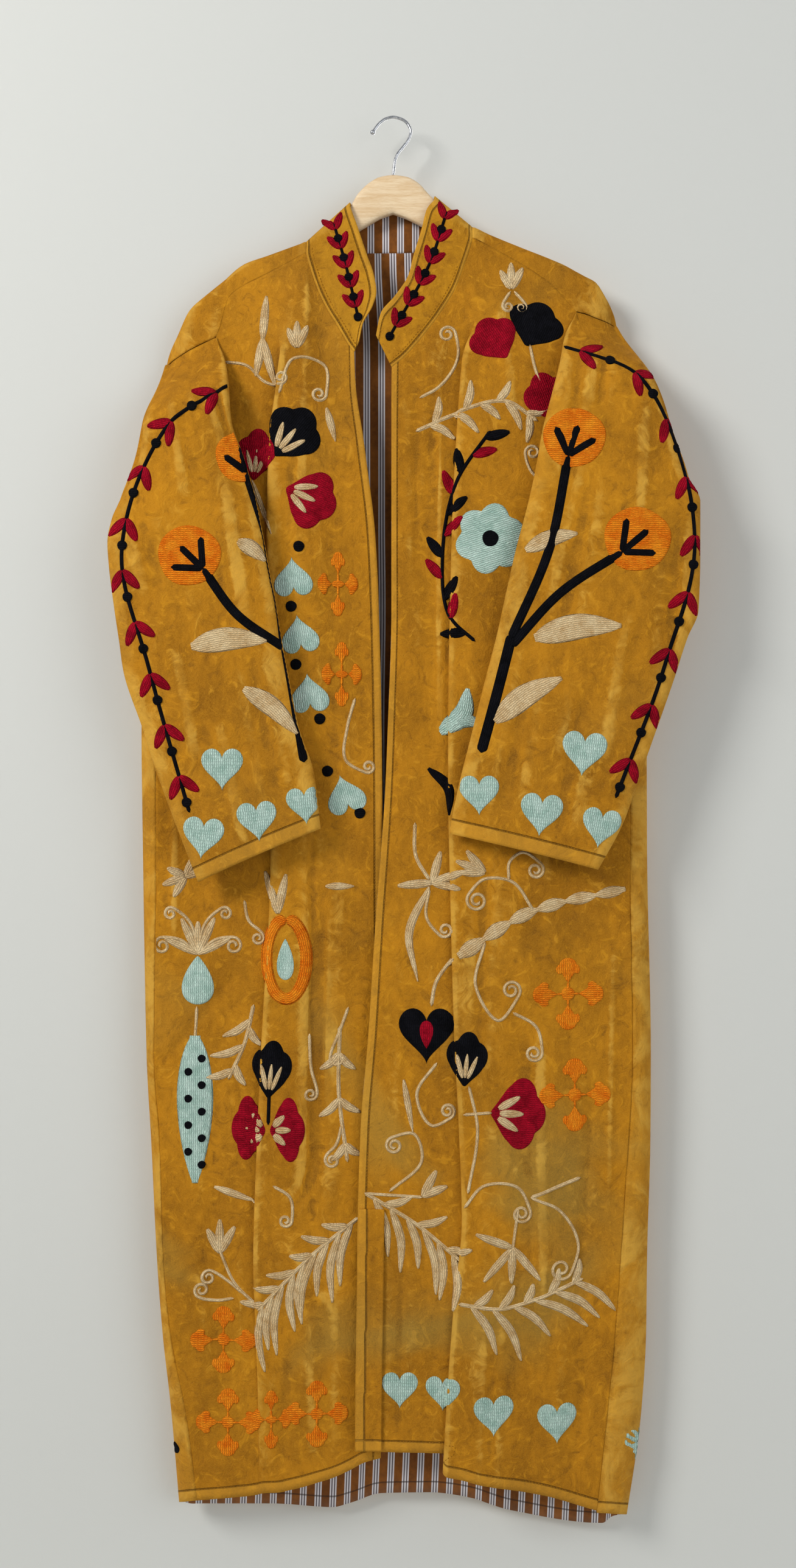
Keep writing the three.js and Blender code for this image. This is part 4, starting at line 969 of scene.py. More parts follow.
def velvet_finish(name, dark, light, patch):
    """Cotton velvet: a nap that lies lighter and darker in soft crushed streaks, a painted sheen
    highlight on its crests and painted shade in its hollows, fine pile, and turned, stitched
    edges with painted shade along their sewn lines and a painted highlight on the turned edge."""
    material, nodes, shader, place, _ = new_material(name)
    tall = nodes.stretched(place, 1, 1, 0.6)
    body = uneven(nodes, tall, 13, 110, dark, light)
    crushed = nodes.noise(place, 52, 6, 0.66, 1.9)
    streak = nodes.span(crushed, 0.53, 0.68)
    colour = nodes.blend(nodes.math("MULTIPLY", streak, 0.5), body["Colour"], srgb("D0901A"))
    hollow = nodes.span(crushed, 0.45, 0.3)
    colour = nodes.blend(nodes.math("MULTIPLY", hollow, 0.5), colour, srgb("6E430A"))
    patches = nodes.span(nodes.noise(place, 4.2, 3, 0.5, 0.6), 0.5, 0.68)
    lower = nodes.span(nodes.add("ShaderNodeSeparateXYZ", inputs={"Vector": place}).outputs[2],
                       -0.75, -1.25, 0.2, 1.0)
    patches = nodes.math("MULTIPLY", patches, nodes.math("MULTIPLY", lower, 0.55))
    colour = nodes.blend(patches, colour, srgb(patch))
    # crest: how far the cloth stands out from its neighbours; the painted highlight and painted
    # shade below follow it
    crest = nodes.add("ShaderNodeAttribute", attribute_name="crest").outputs["Fac"]
    broken = nodes.noise(place, 17, 4, 0.6, 1.2)
    ragged = nodes.math("ADD", crest, nodes.span(crushed, 0.3, 0.7, -0.3, 0.3))
    patchy = nodes.span(broken, 0.4, 0.62, 0.12, 0.55)
    # Painted sheen highlight: the crests painted paler in broken patches.
    paler_share = nodes.math("MULTIPLY", nodes.span(ragged, 0.2, 1.0), patchy)
    colour = nodes.blend(paler_share, colour, srgb("DDAE4A"))
    # Painted shade: the hollows between folds painted darker in broken patches.
    dull = nodes.math("MULTIPLY", nodes.span(ragged, -0.2, -0.9), patchy)
    colour = nodes.blend(dull, colour, srgb("5E3A0C"))
    # Painted shade along the sewn lines, where the cloth sinks in a crease.
    colour, line, turned_in = creased(nodes, colour, "4A2E08")
    # Painted highlight: the turned edge, between the sewn line and the cloth's edge, painted paler.
    colour = nodes.blend(nodes.math("MULTIPLY", turned_in, 0.28), colour, srgb("DBA640"))
    pile_noise = nodes.noise(place, 900, 3, 0.7)
    colour = nodes.blend(nodes.span(pile_noise, 0.35, 0.65, 0.0, 0.2), colour, srgb("DB9C2C"))
    join(nodes, colour, shader.inputs["Base Color"])
    set_up(shader, Roughness=0.86, Specular_IOR_Level=0.15, Sheen_Weight=0.18,
           Sheen_Roughness=0.35, Sheen_Tint=srgb("FFB43C"))
    pile = bump(nodes, pile_noise, 0.3, 0.0006)
    soft = bump(nodes, crushed, 0.6, 0.003, pile)
    sunk = bump(nodes, nodes.math("SUBTRACT", nodes.math("MULTIPLY", turned_in, 0.6), line),
                0.9, 0.0016, soft)
    join(nodes, sunk, shader.inputs["Normal"])
    return material


def lining_finish():
    """Tan cotton with groups of three pale stripes parted by two dark ones, 16 mm apart."""
    material, nodes, shader, place, flat = new_material("striped cotton")
    base = uneven(nodes, place, 22, 240, "6B3C12", "96591C")["Colour"]
    across = nodes.add("ShaderNodeSeparateXYZ", inputs={"Vector": flat}).outputs[0]
    repeat = nodes.math("FRACT", nodes.math("DIVIDE", across, 0.016))
    off = nodes.math("ABSOLUTE", nodes.math("SUBTRACT", repeat, 0.5))
    group = nodes.span(off, 0.235, 0.215)
    dark = nodes.span(nodes.math("ABSOLUTE", nodes.math("SUBTRACT", off, 0.09)), 0.05, 0.03)
    colour = nodes.blend(group, base, srgb("E4DFE2"))
    colour = nodes.blend(nodes.math("MULTIPLY", dark, 0.9), colour, srgb("43303A"))
    # Painted shade along the sewn lines.
    colour, line, _ = creased(nodes, colour, "2E1A0A")
    join(nodes, colour, shader.inputs["Base Color"])
    set_up(shader, Roughness=0.85, Specular_IOR_Level=0.2, Sheen_Weight=0.1)
    weave = nodes.add("ShaderNodeGroup", node_tree=THREADS, inputs={"Flat place": flat}).outputs[0]
    woven = bump(nodes, weave, 0.4, 0.0003)
    join(nodes, bump(nodes, line, -0.8, 0.001, woven), shader.inputs["Normal"])
    return material


CHAIN_ROW, CHAIN_STITCH = 0.0021, 0.0034  # a row's width and a stitch's length, in metres


def wool_finish(name, dark, light):
    """Wool chain stitch in rows along the motif, with the yarn's uneven dye and painted shade
    between its stitches and rows.
    """
    material, nodes, shader, place, flat = new_material(name)
    stray = nodes.add("ShaderNodeTexNoise", inputs={"Vector": place, "Scale": 260.0}).outputs[1]
    stray = nodes.add("ShaderNodeVectorMath", operation="MULTIPLY_ADD", inputs={
        0: stray, 1: (0.0022, 0.0022, 0.0), 2: flat,
    }).outputs[0]
    chain = nodes.add("ShaderNodeGroup", node_tree=CHAIN, inputs={
        "Flat place": stray, "Row": CHAIN_ROW, "Stitch": CHAIN_STITCH,
    }).outputs[0]
    dyed = uneven(nodes, place, 90, 620, dark, light)["Colour"]
    # Painted shade: the yarn darkened where the chain is low, between stitches and rows.
    between = nodes.span(chain, 0.05, 0.5, 0.62, 1)
    shade = nodes.add("ShaderNodeCombineColor", inputs={0: between, 1: between, 2: between})
    colour = nodes.blend(1.0, dyed, shade.outputs[0], "MULTIPLY")
    join(nodes, colour, shader.inputs["Base Color"])
    set_up(shader, Roughness=0.92, Specular_IOR_Level=0.08, Sheen_Weight=0.04,
           Sheen_Roughness=0.5, Sheen_Tint=srgb(light))
    fibres = bump(nodes, nodes.noise(place, 2600, 2, 0.7), 0.3, 0.0004)
    join(nodes, bump(nodes, chain, 0.9, 0.0012, fibres), shader.inputs["Normal"])
    return material


def wood_finish():
    """Pale lacquered wood: long grain along the bar, a little darker in its pores."""
    material, nodes, shader, place, _ = new_material("pale lacquered wood")
    grain = nodes.stretched(place, 5, 60, 60)
    base = uneven(nodes, grain, 3, 30, "D3B183", "EBD5B2")["Colour"]
    pores = nodes.span(nodes.noise(grain, 22, 2, 0.7), 0.58, 0.75)
    colour = nodes.blend(nodes.math("MULTIPLY", pores, 0.25), base, srgb("B08A5C"))
    join(nodes, colour, shader.inputs["Base Color"])
    set_up(shader, Roughness=0.42, Coat_Weight=0.25, Coat_Roughness=0.2)
    join(nodes, bump(nodes, pores, 0.15, 0.0002), shader.inputs["Normal"])
    return material


def steel_finish():
    """Plated wire, drawn along its length, a little dull."""
    material, nodes, shader, place, _ = new_material("plated wire")
    paler_share = nodes.noise(place, 380, 4, 0.6)
    colour = nodes.blend(nodes.span(paler_share, 0.4, 0.7), srgb("B4B6BA"), srgb("D9DADC"))
    join(nodes, colour, shader.inputs["Base Color"])
    join(nodes, nodes.span(paler_share, 0.35, 0.7, 0.2, 0.36), shader.inputs["Roughness"])
    set_up(shader, Metallic=1.0)
    join(nodes, bump(nodes, paler_share, 0.08, 0.0002), shader.inputs["Normal"])
    return material


YARNS = {
    "orange": ("E4690A", "FF9C22"), "red": ("7C0316", "B80D2A"), "black": ("040407", "121218"),
    "mint": ("A2C4B6", "D2EBDF"), "beige": ("CCA56F", "F6DBAB"), "gold": ("7A4F0C", "B17A1E"),
}
VELVET_FINISH = velvet_finish("mustard velvet", "8A5808", "B97B12", "8C7A3A")
COLLAR_FINISH = velvet_finish("collar velvet", "93600C", "C18718", "A98A2C")
LINING_FINISH = lining_finish()
WOOL = {yarn: wool_finish(f"{yarn} wool", *colours) for yarn, colours in YARNS.items()}
for name, piece in cloth.items():
    lined = name.endswith("lining")
    finish = LINING_FINISH if lined else VELVET_FINISH
    if name == "collar":
        finish = COLLAR_FINISH
    hung(piece, name, finish)


# ---- The tuck on the lower right front ----

TUCK = {"top": -1155, "bottom": -1408, "width": 28, "lines": 18, "rows": 110, "fuller": 0.9}
LATTICE = {"half": 340, "drop": 1540}  # cells of 1 mm, to each side of the middle and down
DENSER = (8, 5)  # times as many rows and lines as the grid has, so that no cell is missed
SPREAD = 14  # cells past the cloth's edges that its depth is carried on
SOFTENED = 3  # times that a cell takes the mean of its neighbours
EDGE_ROOM = 1.5  # how far inside the cloth's edge yarn stays


def height_map(grid, rear=False):
    """Depth of the outermost cloth on a lattice of 1 mm cells: the least y seen from the
    front (the greatest from behind), spread a little past the cloth's edges and softened.
    Also which cells the cloth covers."""
    dense = grid
    for axis, times in enumerate(DENSER):
        at = np.linspace(0, dense.shape[axis] - 1, dense.shape[axis] * times)
        low = np.minimum(at.astype(int), dense.shape[axis] - 2)
        part = (at - low).reshape((-1, 1, 1) if axis == 0 else (1, -1, 1))
        dense = mix(np.take(dense, low, axis), np.take(dense, low + 1, axis), part)
    x, y, z = dense.reshape(-1, 3).T
    cells = (int(2 * LATTICE["half"]) + 1, int(LATTICE["drop"]) + 1)
    depth = np.full(cells, np.inf)
    i = np.clip(np.round(x + LATTICE["half"]).astype(int), 0, cells[0] - 1)
    k = np.clip(np.round(-z).astype(int), 0, cells[1] - 1)
    np.minimum.at(depth, (i, k), -y if rear else y)
    covered = np.isfinite(depth)
    for _ in range(SPREAD):
        around = np.minimum.reduce([np.roll(depth, s, a) for a in (0, 1) for s in (-1, 1)])
        depth = np.where(np.isinf(depth), around, depth)
    known = np.isfinite(depth)
    depth = np.where(known, depth, depth[known].max())
    for _ in range(SOFTENED):
        depth = sum(np.roll(depth, s, a) for a in (0, 1) for s in (-1, 0, 1)) / 6
    return (-depth if rear else depth), covered


class Surface:
    """A cloth's outer side as a depth map that stitches and motifs are laid on. A bounded
    one also knows where the cloth's two side edges are at each height."""

    def __init__(self, grid, rear=False, bounded=False):
        self.depth, known = height_map(grid, rear)
        self.side = 1 if rear else -1
        self.slopes = np.gradient(self.depth)
        self.low = self.high = None
        if bounded:
            rows = known.any(axis=0)
            last = len(known) - 1
            low, high = known.argmax(axis=0), last - known[::-1].argmax(axis=0)
            k = np.arange(len(rows))
            self.low = np.interp(k, k[rows], low[rows]) - LATTICE["half"]
            self.high = np.interp(k, k[rows], high[rows]) - LATTICE["half"]

    def sample(self, values, x, z):
        i = np.clip(x + LATTICE["half"], 0, values.shape[0] - 1.001)
        k = np.clip(-z, 0, values.shape[1] - 1.001)
        i0, k0 = i.astype(int), k.astype(int)
        u, v = i - i0, k - k0
        near = mix(values[i0, k0], values[i0 + 1, k0], u)
        far = mix(values[i0, k0 + 1], values[i0 + 1, k0 + 1], u)
        return mix(near, far, v)

    def lay(self, x, z, height):
        """Points at x and z on the cloth, moved out by height along its normal. What would
        pass the cloth's side edge is gathered just inside it."""
        if self.low is not None:
            k = np.arange(len(self.low))
            low, high = np.interp(-z, k, self.low), np.interp(-z, k, self.high)
            x = np.clip(x, low + EDGE_ROOM, high - EDGE_ROOM)
        y = self.sample(self.depth, x, z)
        slope_x = np.clip(self.sample(self.slopes[0], x, z), -2, 2)
        slope_z = -np.clip(self.sample(self.slopes[1], x, z), -2, 2)
        out = unit(self.side * np.stack([-slope_x, np.ones(x.shape), -slope_z], axis=-1))
        return np.stack([x, y, z], axis=-1) + out * height[..., None]


surfaces = {name: Surface(grid, bounded=name != "collar") for name, grid in outer.items()}
surfaces["behind"] = Surface(outer["back"], rear=True, bounded=True)


def add_tuck():
    """The strip along the right front's lower edge: a flat fold of velvet laid over the
    panel, a little fuller down its free side."""
    u = np.linspace(0, 1, TUCK["lines"])[None, :]
    v = np.linspace(0, 1, TUCK["rows"])[:, None]
    z = mix(TUCK["top"], TUCK["bottom"], v) + 0 * u
    left = through(FRONTS["right"]["lines"]["z"], FRONTS["right"]["lines"]["left"], z)
    x = left + 1 + u * (TUCK["width"] - 1)
    height = VELVET / 2 + SEAM + TUCK["fuller"] * smooth((u - 0.75) * 4) + 0 * v
    points = surfaces["front_right"].lay(x, z, height)
    piece, _ = shell("velvet_tuck", points, VELVET, turned=True,
                     sewn=("left", EDGE_LINE, "bottom", HEM_LINE))
    hung(piece, "front_right_tuck", VELVET_FINISH)
    cloth["front_right_tuck"] = piece


add_tuck()


# ---- Embroidery ----

STITCH_HEIGHT = 1.1
UNDER = -0.5  # how far a motif's rim is sunk into the cloth
ABOVE = STITCH_HEIGHT * 0.7  # where one motif is stitched over another
FINE = 3.2  # width of a thin stem
STEM = 3.8  # width of a stronger one
RIBBON_STEP = 2.6  # between the sections of a band of stitches
TOPSTITCH = 3.4  # from one small stitch to the next
work = {}


def keep(on, yarn, rings, flat):
    """Notes one closed solid of a yarn's work on a cloth, with its places on the flat."""
    work.setdefault((on, yarn), []).append((rings, flat))


def turned_by(degrees, x, z):
    """x and z turned anticlockwise about 0, as seen from the front."""
    c, s = np.cos(np.radians(degrees)), np.sin(np.radians(degrees))
    return x * c - z * s, x * s + z * c


def ribbon(on, yarn, points, width, lift=0.0, thick=STITCH_HEIGHT):
    """A band of stitches along a smooth line through points, its width a number or a
    function of the share of the way: a flat-bottomed arch, closed at both ends."""
    along = distances(points)
    at = np.linspace(0, along[-1], max(6, int(along[-1] / RIBBON_STEP)))
    line = through(along, points, at, loose=True)
    tangent = unit(np.gradient(line, axis=0))
    half = (width(at / along[-1]) if callable(width) else np.full(len(at), float(width))) / 2
    if not callable(width):
        inside = np.minimum(at, along[-1] - at)
        half *= np.sqrt(np.clip(1 - (1 - np.minimum(inside / half, 1)) ** 2, 0.02, 1))
    arch = np.linspace(-1, 1, max(5, int(half.max() / 1.2) | 1))
    across = np.concatenate([arch, [0.9, 0, -0.9]])
    height = np.concatenate([thick * (1 - np.abs(arch) ** 3) + lift, np.full(3, UNDER + lift)])
    offset = across * half[:, None]
    x = line[:, :1] - tangent[:, 1:] * offset
    z = line[:, 1:] + tangent[:, :1] * offset
    rings = surfaces[on].lay(x, z, height + 0 * x)
    keep(on, yarn, rings, np.stack([offset, at[:, None] + 0 * offset], axis=2) * MM)


def on_line(points, shares):
    """Places, and headings in degrees, at shares of the length of a smooth line."""
    along = distances(points)

    def at(shares):
        return through(along, points, np.clip(shares, 0, 1) * along[-1], loose=True)

    step = at(shares + 0.01) - at(shares - 0.01)
    return [(x, z, heading) for (x, z), heading in
            zip(at(shares), np.degrees(np.arctan2(step[:, 1], step[:, 0])))]


def tendril(on, points, radius, hand, turns=1.4):
    """A thin beige stem that ends in a spiral closing in to its left (1) or right (-1)."""
    points = np.asarray(points, float)
    ahead = unit(points[-1] - points[-2])
    aside = hand * np.array([-ahead[1], ahead[0]])
    turn = np.linspace(0, 2 * np.pi * turns, int(12 * turns) + 2)[1:]
    x, z = (-aside)[:, None] * radius * (1 - 0.72 * turn / turn[-1])
    c, s = np.cos(hand * turn), np.sin(hand * turn)
    spiral = points[-1] + aside * radius + np.stack([x * c - z * s, x * s + z * c], axis=1)
    ribbon(on, "beige", np.concatenate([points, spiral]), FINE)


def leaf(on, yarn, x, z, heading, length, width=8, bow=0.0, lift=0.0, blunt=0.75):
    """A leaf from its base at x, z: narrow there, widest near its middle, round at its tip."""
    to_x, to_z = turned_by(heading, np.array([0.5, 1]) * length, np.array([bow, 0]) * length)

    def wide(t):
        return width * (0.1 + 0.9 * np.sin(np.pi * np.clip(t, 0.02, 0.985) ** 0.8) ** blunt)

    ribbon(on, yarn, [(x, z), *zip(x + to_x, z + to_z)], wide, lift)


def star(on, x, z, length, *headings, width=9.5):
    """Beige leaves of nearly one length that spread from one point."""
    for i, heading in enumerate(headings):
        leaf(on, "beige", x, z, heading, length * (1 + 0.12 * np.sin(2.3 * i)), width, blunt=0.5)


def spray(on, points, left, right, lean=48):
    """A beige fern: a stem with leaflets down each side, given as how many and how long."""
    ribbon(on, "beige", points, 4.2)
    for side, (count, length) in ((1, left), (-1, right)):
        places = on_line(points, (np.arange(count) + 0.6) / count)
        for i, (x, z, heading) in enumerate(places):
            leaf(on, "beige", x, z, heading + side * (lean + 5 * np.sin(1.7 * i)),
                 length * (1 + 0.14 * np.sin(2.4 * i)), 9, -0.08 * side, blunt=0.55)


def vine(on, points, pairs, length, spread=38, forward=True, width=11, stem=4.2, knot=10.5):
    """A black stem with evenly spaced pairs of red leaves, and a knot between each two."""
    ribbon(on, "black", points, stem)
    shares = (np.arange(pairs) + 0.3) / pairs
    for x, z, heading in on_line(points, shares):
        for side in (-1, 1):
            leaf(on, "red", x, z, heading + (0 if forward else 180) + side * spread, length,
                 width, blunt=0.45)
    for x, z, _ in on_line(points, shares + 0.5 / pairs):
        pad(on, "disc", "black", x, z, knot, knot, 0, lift=0.4)


def bough(on, fork, x, z, size, bow):
    """An orange fruit on a black bough that rises from a fork and ends in three toes."""
    pad(on, "disc", "orange", x, z, size, 0.95 * size, 0)
    root, centre = np.array(fork, float), np.array([x, z], float)
    down = unit(root - centre)
    tip = centre + down * 0.3 * size
    aside = np.array([down[1], -down[0]]) * np.linalg.norm(root - tip) * bow
    ribbon(on, "black", [root, (root + tip) / 2 + aside, tip], 9.5, thick=STITCH_HEIGHT + ABOVE)
    heading = np.degrees(np.arctan2(-down[1], -down[0]))
    for spread in (-42, 0, 42):
        to_x, to_z = turned_by(heading + spread, 0.5 * size, 0)
        ribbon(on, "black", [tip, tip + (to_x, to_z)], 8.4, ABOVE)


def outline(shape, count=56):
    """A motif's edge round its own centre, 1 long along x and 1 wide, as polar formulas."""
    a = np.linspace(0, 2 * np.pi, count, endpoint=False)
    from_top = np.abs(((a + np.pi) % (2 * np.pi) - np.pi) / np.pi)  # 0 at the top, 1 at the base
    if shape == "heart":
        x = 13 * np.cos(a) - 5 * np.cos(2 * a) - 2 * np.cos(3 * a) - np.cos(4 * a)
        return x / 29 + 0.03, np.sin(a) ** 3 / 2
    if shape == "fan":
        lobes = 0.3 + 0.1 * np.abs(np.cos(1.5 * a)) * (from_top < 0.72)
        base = smooth((from_top - 0.72) / 0.28)
        return 0.6 + (lobes + 0.3 * base) * np.cos(a), 1.25 * lobes * np.sin(a) * (1 - 0.4 * base)
    if shape == "tulip":
        lobed = 0.62
        lobes = 1 + 0.22 * np.abs(np.cos(1.5 * np.pi * from_top / lobed)) * (from_top < lobed)
        foot = smooth((from_top - lobed) / (1 - lobed))
        reach = 0.42 * lobes + 0.08 * foot
        shut = 1 - smooth((from_top - 0.97) / 0.03)
        narrow = 1 - 0.55 * smooth((from_top - lobed) / 0.3) * shut
        return reach * np.cos(a) + 0.5, 1.12 * reach * np.sin(a) * narrow
    if shape == "drop":
        return 0.5 * np.cos(a) + 0.5, 0.62 * np.sin(a) * (0.5 + 0.45 * np.cos(a)) ** 0.5
    if shape == "flower":
        reach = 0.5 * (0.8 + 0.2 * np.abs(np.cos(3 * a)))
        return reach * np.cos(a), reach * np.sin(a)
    wobble = 0.5 * (1 + 0.02 * np.sin(3 * a + 1) + 0.012 * np.sin(5 * a))
    return wobble * np.cos(a), wobble * np.sin(a)


def pad(on, shape, yarn, x, z, length, width, degrees, lift=0.0):
    """A filled motif: its outline drawn in towards its centre in rings, a sunk rim below."""
    small = length <= 16
    edge_x, edge_z = outline(shape, 20 if small else 56)
    scale = np.array([1, 1, 0.95, 0.86, 0.68, 0.46, 0.2])[:, None]
    height = np.array([UNDER, 0.27, 0.77, 1, 1.1, 1.1, 1.1])[:, None] + lift
    if small:
        scale, height = scale[::2], height[::2]
    local_x = (edge_x.mean() + (edge_x - edge_x.mean()) * scale) * length
    local_z = edge_z * scale * width
    turned_x, turned_z = turned_by(degrees, local_x, local_z)
    rings = surfaces[on].lay(x + turned_x, z + turned_z, height + 0 * turned_x)
    keep(on, yarn, rings, np.stack([local_z, local_x], axis=2) * MM)


def tulip(on, yarn, x, z, length, width, degrees, slits=(-1, 0, 1)):
    """A three-lobed head that opens from its base, with pale slits fanned out on it."""
    pad(on, "tulip", yarn, x, z, length, width, degrees)
    for spread in slits:
        heading = degrees + spread * 27 * width / length
        to_x, to_z = turned_by(heading, 0.16 * length, 0)
        leaf(on, "beige", x + to_x, z + to_z, heading, 0.44 * length, 0.15 * width,
             lift=ABOVE, blunt=0.5)


def rosette(on, x, z, length, width=None):
    """Four small orange fans round a knot, each on a short thread."""
    width = width or length
    pad(on, "disc", "orange", x, z, 0.2 * length, 0.2 * width, 0)
    for quarter in range(4):
        reach, wide = (length, width) if quarter % 2 else (width, length)
        to_x, to_z = turned_by(90 * quarter, 0.17 * reach, 0)
        ribbon(on, "orange", [(x, z), (x + to_x, z + to_z)], 2.4)
        pad(on, "fan", "orange", x + to_x, z + to_z, 0.36 * reach, 0.38 * wide, 90 * quarter)


def hearts(on, *rows, yarn="mint"):
    """Hearts given as x, z, size and the way the lobes point."""
    for x, z, size, degrees in rows:
        pad(on, "heart", yarn, x, z, size, size, degrees)


def dots(on, size, *places, lift=0.0):
    """Black dots of one size."""
    for x, z in places:
        pad(on, "disc", "black", x, z, size, size, 0, lift)


def sew_sleeves():
    """Fruit boughs, a leafy vine down the outer side, pale leaves, and hearts at the cuff."""
    vine("sleeve_left", [(-170, -296), (-235, -345), (-280, -470), (-252, -590), (-210, -740)],
         9, 25)
    bough("sleeve_left", (-112, -570), -210, -475, 65, 0.08)
    bough("sleeve_left", (-112, -570), -155, -372, 56, -0.04)
    ribbon("sleeve_left", "black", [(-112, -568), (-103, -620), (-92, -688)], 9)
    vine("sleeve_right", [(178, -254), (255, -290), (312, -455), (280, -590), (230, -725)],
         9, 25)
    bough("sleeve_right", (122, -560), 187, -353, 64, -0.05)
    bough("sleeve_right", (122, -568), 252, -458, 69, 0.06)
    ribbon("sleeve_right", "black", [(123, -556), (108, -615), (91, -678)], 11)
    for on, x, z, heading, length, width in (
        ("sleeve_left", -208, -569, 5, 78, 19), ("sleeve_left", -160, -460, -35, 34, 13),
        ("sleeve_left", -154, -612, -40, 72, 16), ("sleeve_right", 137, -469, 18, 56, 14),
        ("sleeve_right", 146, -560, 8, 90, 21), ("sleeve_right", 105, -646, 33, 82, 19),
    ):
        leaf(on, "beige", x, z, heading, length, 1.3 * width, 0.06)
    hearts("sleeve_left", (-176, -693, 43, 90), (-196, -764, 43, 84), (-140, -747, 41, 96),
           (-91, -731, 38, 95))
    hearts("sleeve_right", (197, -677, 46, 84), (89, -720, 41, 90), (153, -740, 44, 84),
           (215, -754, 41, 80))


def sew_collar():
    """A leafy vine up each end of the collar."""
    vine("collar", [(-63, -116), (-50, -162), (-36, -222)], 5, 19, 34, False, 9, FINE, 9.5)
    vine("collar", [(57, -104), (38, -162), (-6, -242)], 6, 19, 34, False, 9, FINE, 9.5)


def sew_left_front():
    """The left front's motifs, from its shoulder to its hem."""
    on = "front_left"
    # At the shoulder: curling sprigs over a bunch of three tulips.
    star(on, -138, -240, 46, 85, -75, -100)
    star(on, -101, -252, 26, 65, 90, 115)
    tendril(on, [(-178, -264), (-155, -268), (-135, -286), (-120, -290)], 7, 1)
    tendril(on, [(-120, -300), (-105, -264), (-72, -270), (-70, -300)], 8, -1)
    leaf(on, "beige", -70, -315, -75, 36)
    leaf(on, "beige", -149, -390, -70, 62, 6)
    tulip(on, "black", -125, -366, 60, 54, 50)
    tulip(on, "red", -147, -390, 54, 38, 84)
    tulip(on, "red", -112, -400, 55, 56, -24)
    # Down the edge: hearts and dots, and two rosettes beside them.
    hearts(on, (-105, -495, 41, -86), (-98, -555, 40, -82), (-88, -617, 41, -84),
           (-50, -723, 41, -74))
    dots(on, 12, (-99, -461), (-107, -524), (-102, -585), (-77, -642), (-69, -697), (-35, -741))
    rosette(on, -58, -500, 64, 40)
    rosette(on, -54, -595, 64, 40)
    tendril(on, [(-40, -620), (-48, -650), (-50, -685), (-30, -698)], 7, 1)
    # At the side: a plant of curls over a long dotted leaf.
    pad(on, "drop", "mint", -206, -892, 51, 36, -90)
    for hand in (-1, 1):
        tendril(on, [(-206, -890), (-206 + hand * 18, -875), (-206 + hand * 36, -872)], 9, -hand)
        tendril(on, [(-206, -886), (-206 + hand * 8, -857), (-206 + hand * 24, -842)], 7, -hand)
    star(on, -206, -889, 38, 25, 65, 90, 115, 155)
    star(on, -219, -808, 24, 20, 65, 155, 200, 240)
    ribbon(on, "beige", [(-207, -945), (-209, -979)], FINE)
    leaf(on, "mint", -209, -976, -90, 155, 38)
    dots(on, 8.5, *((-209 + 7 * (-1) ** i, -1000 - 14 * i) for i in range(9)), lift=ABOVE)
    # At the hip: a hoop round a drop, tulips back to back, and sprigs.
    turn = np.linspace(0.5, 2.5, 17) * np.pi
    hoop = np.stack([-112 + 21 * np.cos(turn), -894 + 42 * np.sin(turn)], axis=1)
    ribbon(on, "orange", hoop, 13)
    pad(on, "drop", "mint", -113, -873, 43, 19, -90)
    tendril(on, [(-157, -833), (-152, -855), (-138, -868)], 7, -1)
    star(on, -121, -846, 42, 78, 108)
    tulip(on, "black", -131, -1040, 60, 38, 84)
    ribbon(on, "black", [(-130, -1036), (-131, -1068)], STEM)
    tulip(on, "red", -129, -1074, 36, 60, 2)
    tulip(on, "red", -134, -1074, 36, 60, 178)
    spray(on, [(-147, -943), (-157, -985), (-174, -1022)], (2, 22), (3, 34))
    spray(on, [(-56, -965), (-57, -1035), (-48, -1108)], (3, 24), (3, 26))
    tendril(on, [(-47, -945), (-56, -970), (-66, -996)], 8, 1)
    tendril(on, [(-54, -1069), (-60, -1090), (-70, -1101)], 8, 1)
    tendril(on, [(-88, -973), (-86, -1010), (-80, -1035)], 7, -1)
    tendril(on, [(-126, -1132), (-108, -1145), (-106, -1168)], 7, -1)
    leaf(on, "beige", -189, -1136, -18, 46)
    leaf(on, "beige", -71, -818, 0, 30)
    # Above the hem: a fern, a small tulip plant and four rosettes.
    spray(on, [(-36, -1167), (-88, -1208), (-142, -1263)], (9, 66), (6, 28), 42)
    ribbon(on, "beige", [(-183, -1203), (-168, -1236), (-142, -1261)], FINE)
    star(on, -183, -1205, 32, 60, 90, 118)
    tendril(on, [(-159, -1247), (-176, -1234), (-191, -1225)], 8, 1)
    tendril(on, [(-168, -1253), (-188, -1256), (-204, -1252)], 8, -1)
    for x, z, length, width in ((-179, -1297, 66, 66), (-174, -1383, 66, 64),
                                (-128, -1378, 58, 40), (-80, -1372, 66, 62)):
        rosette(on, x, z, length, width)


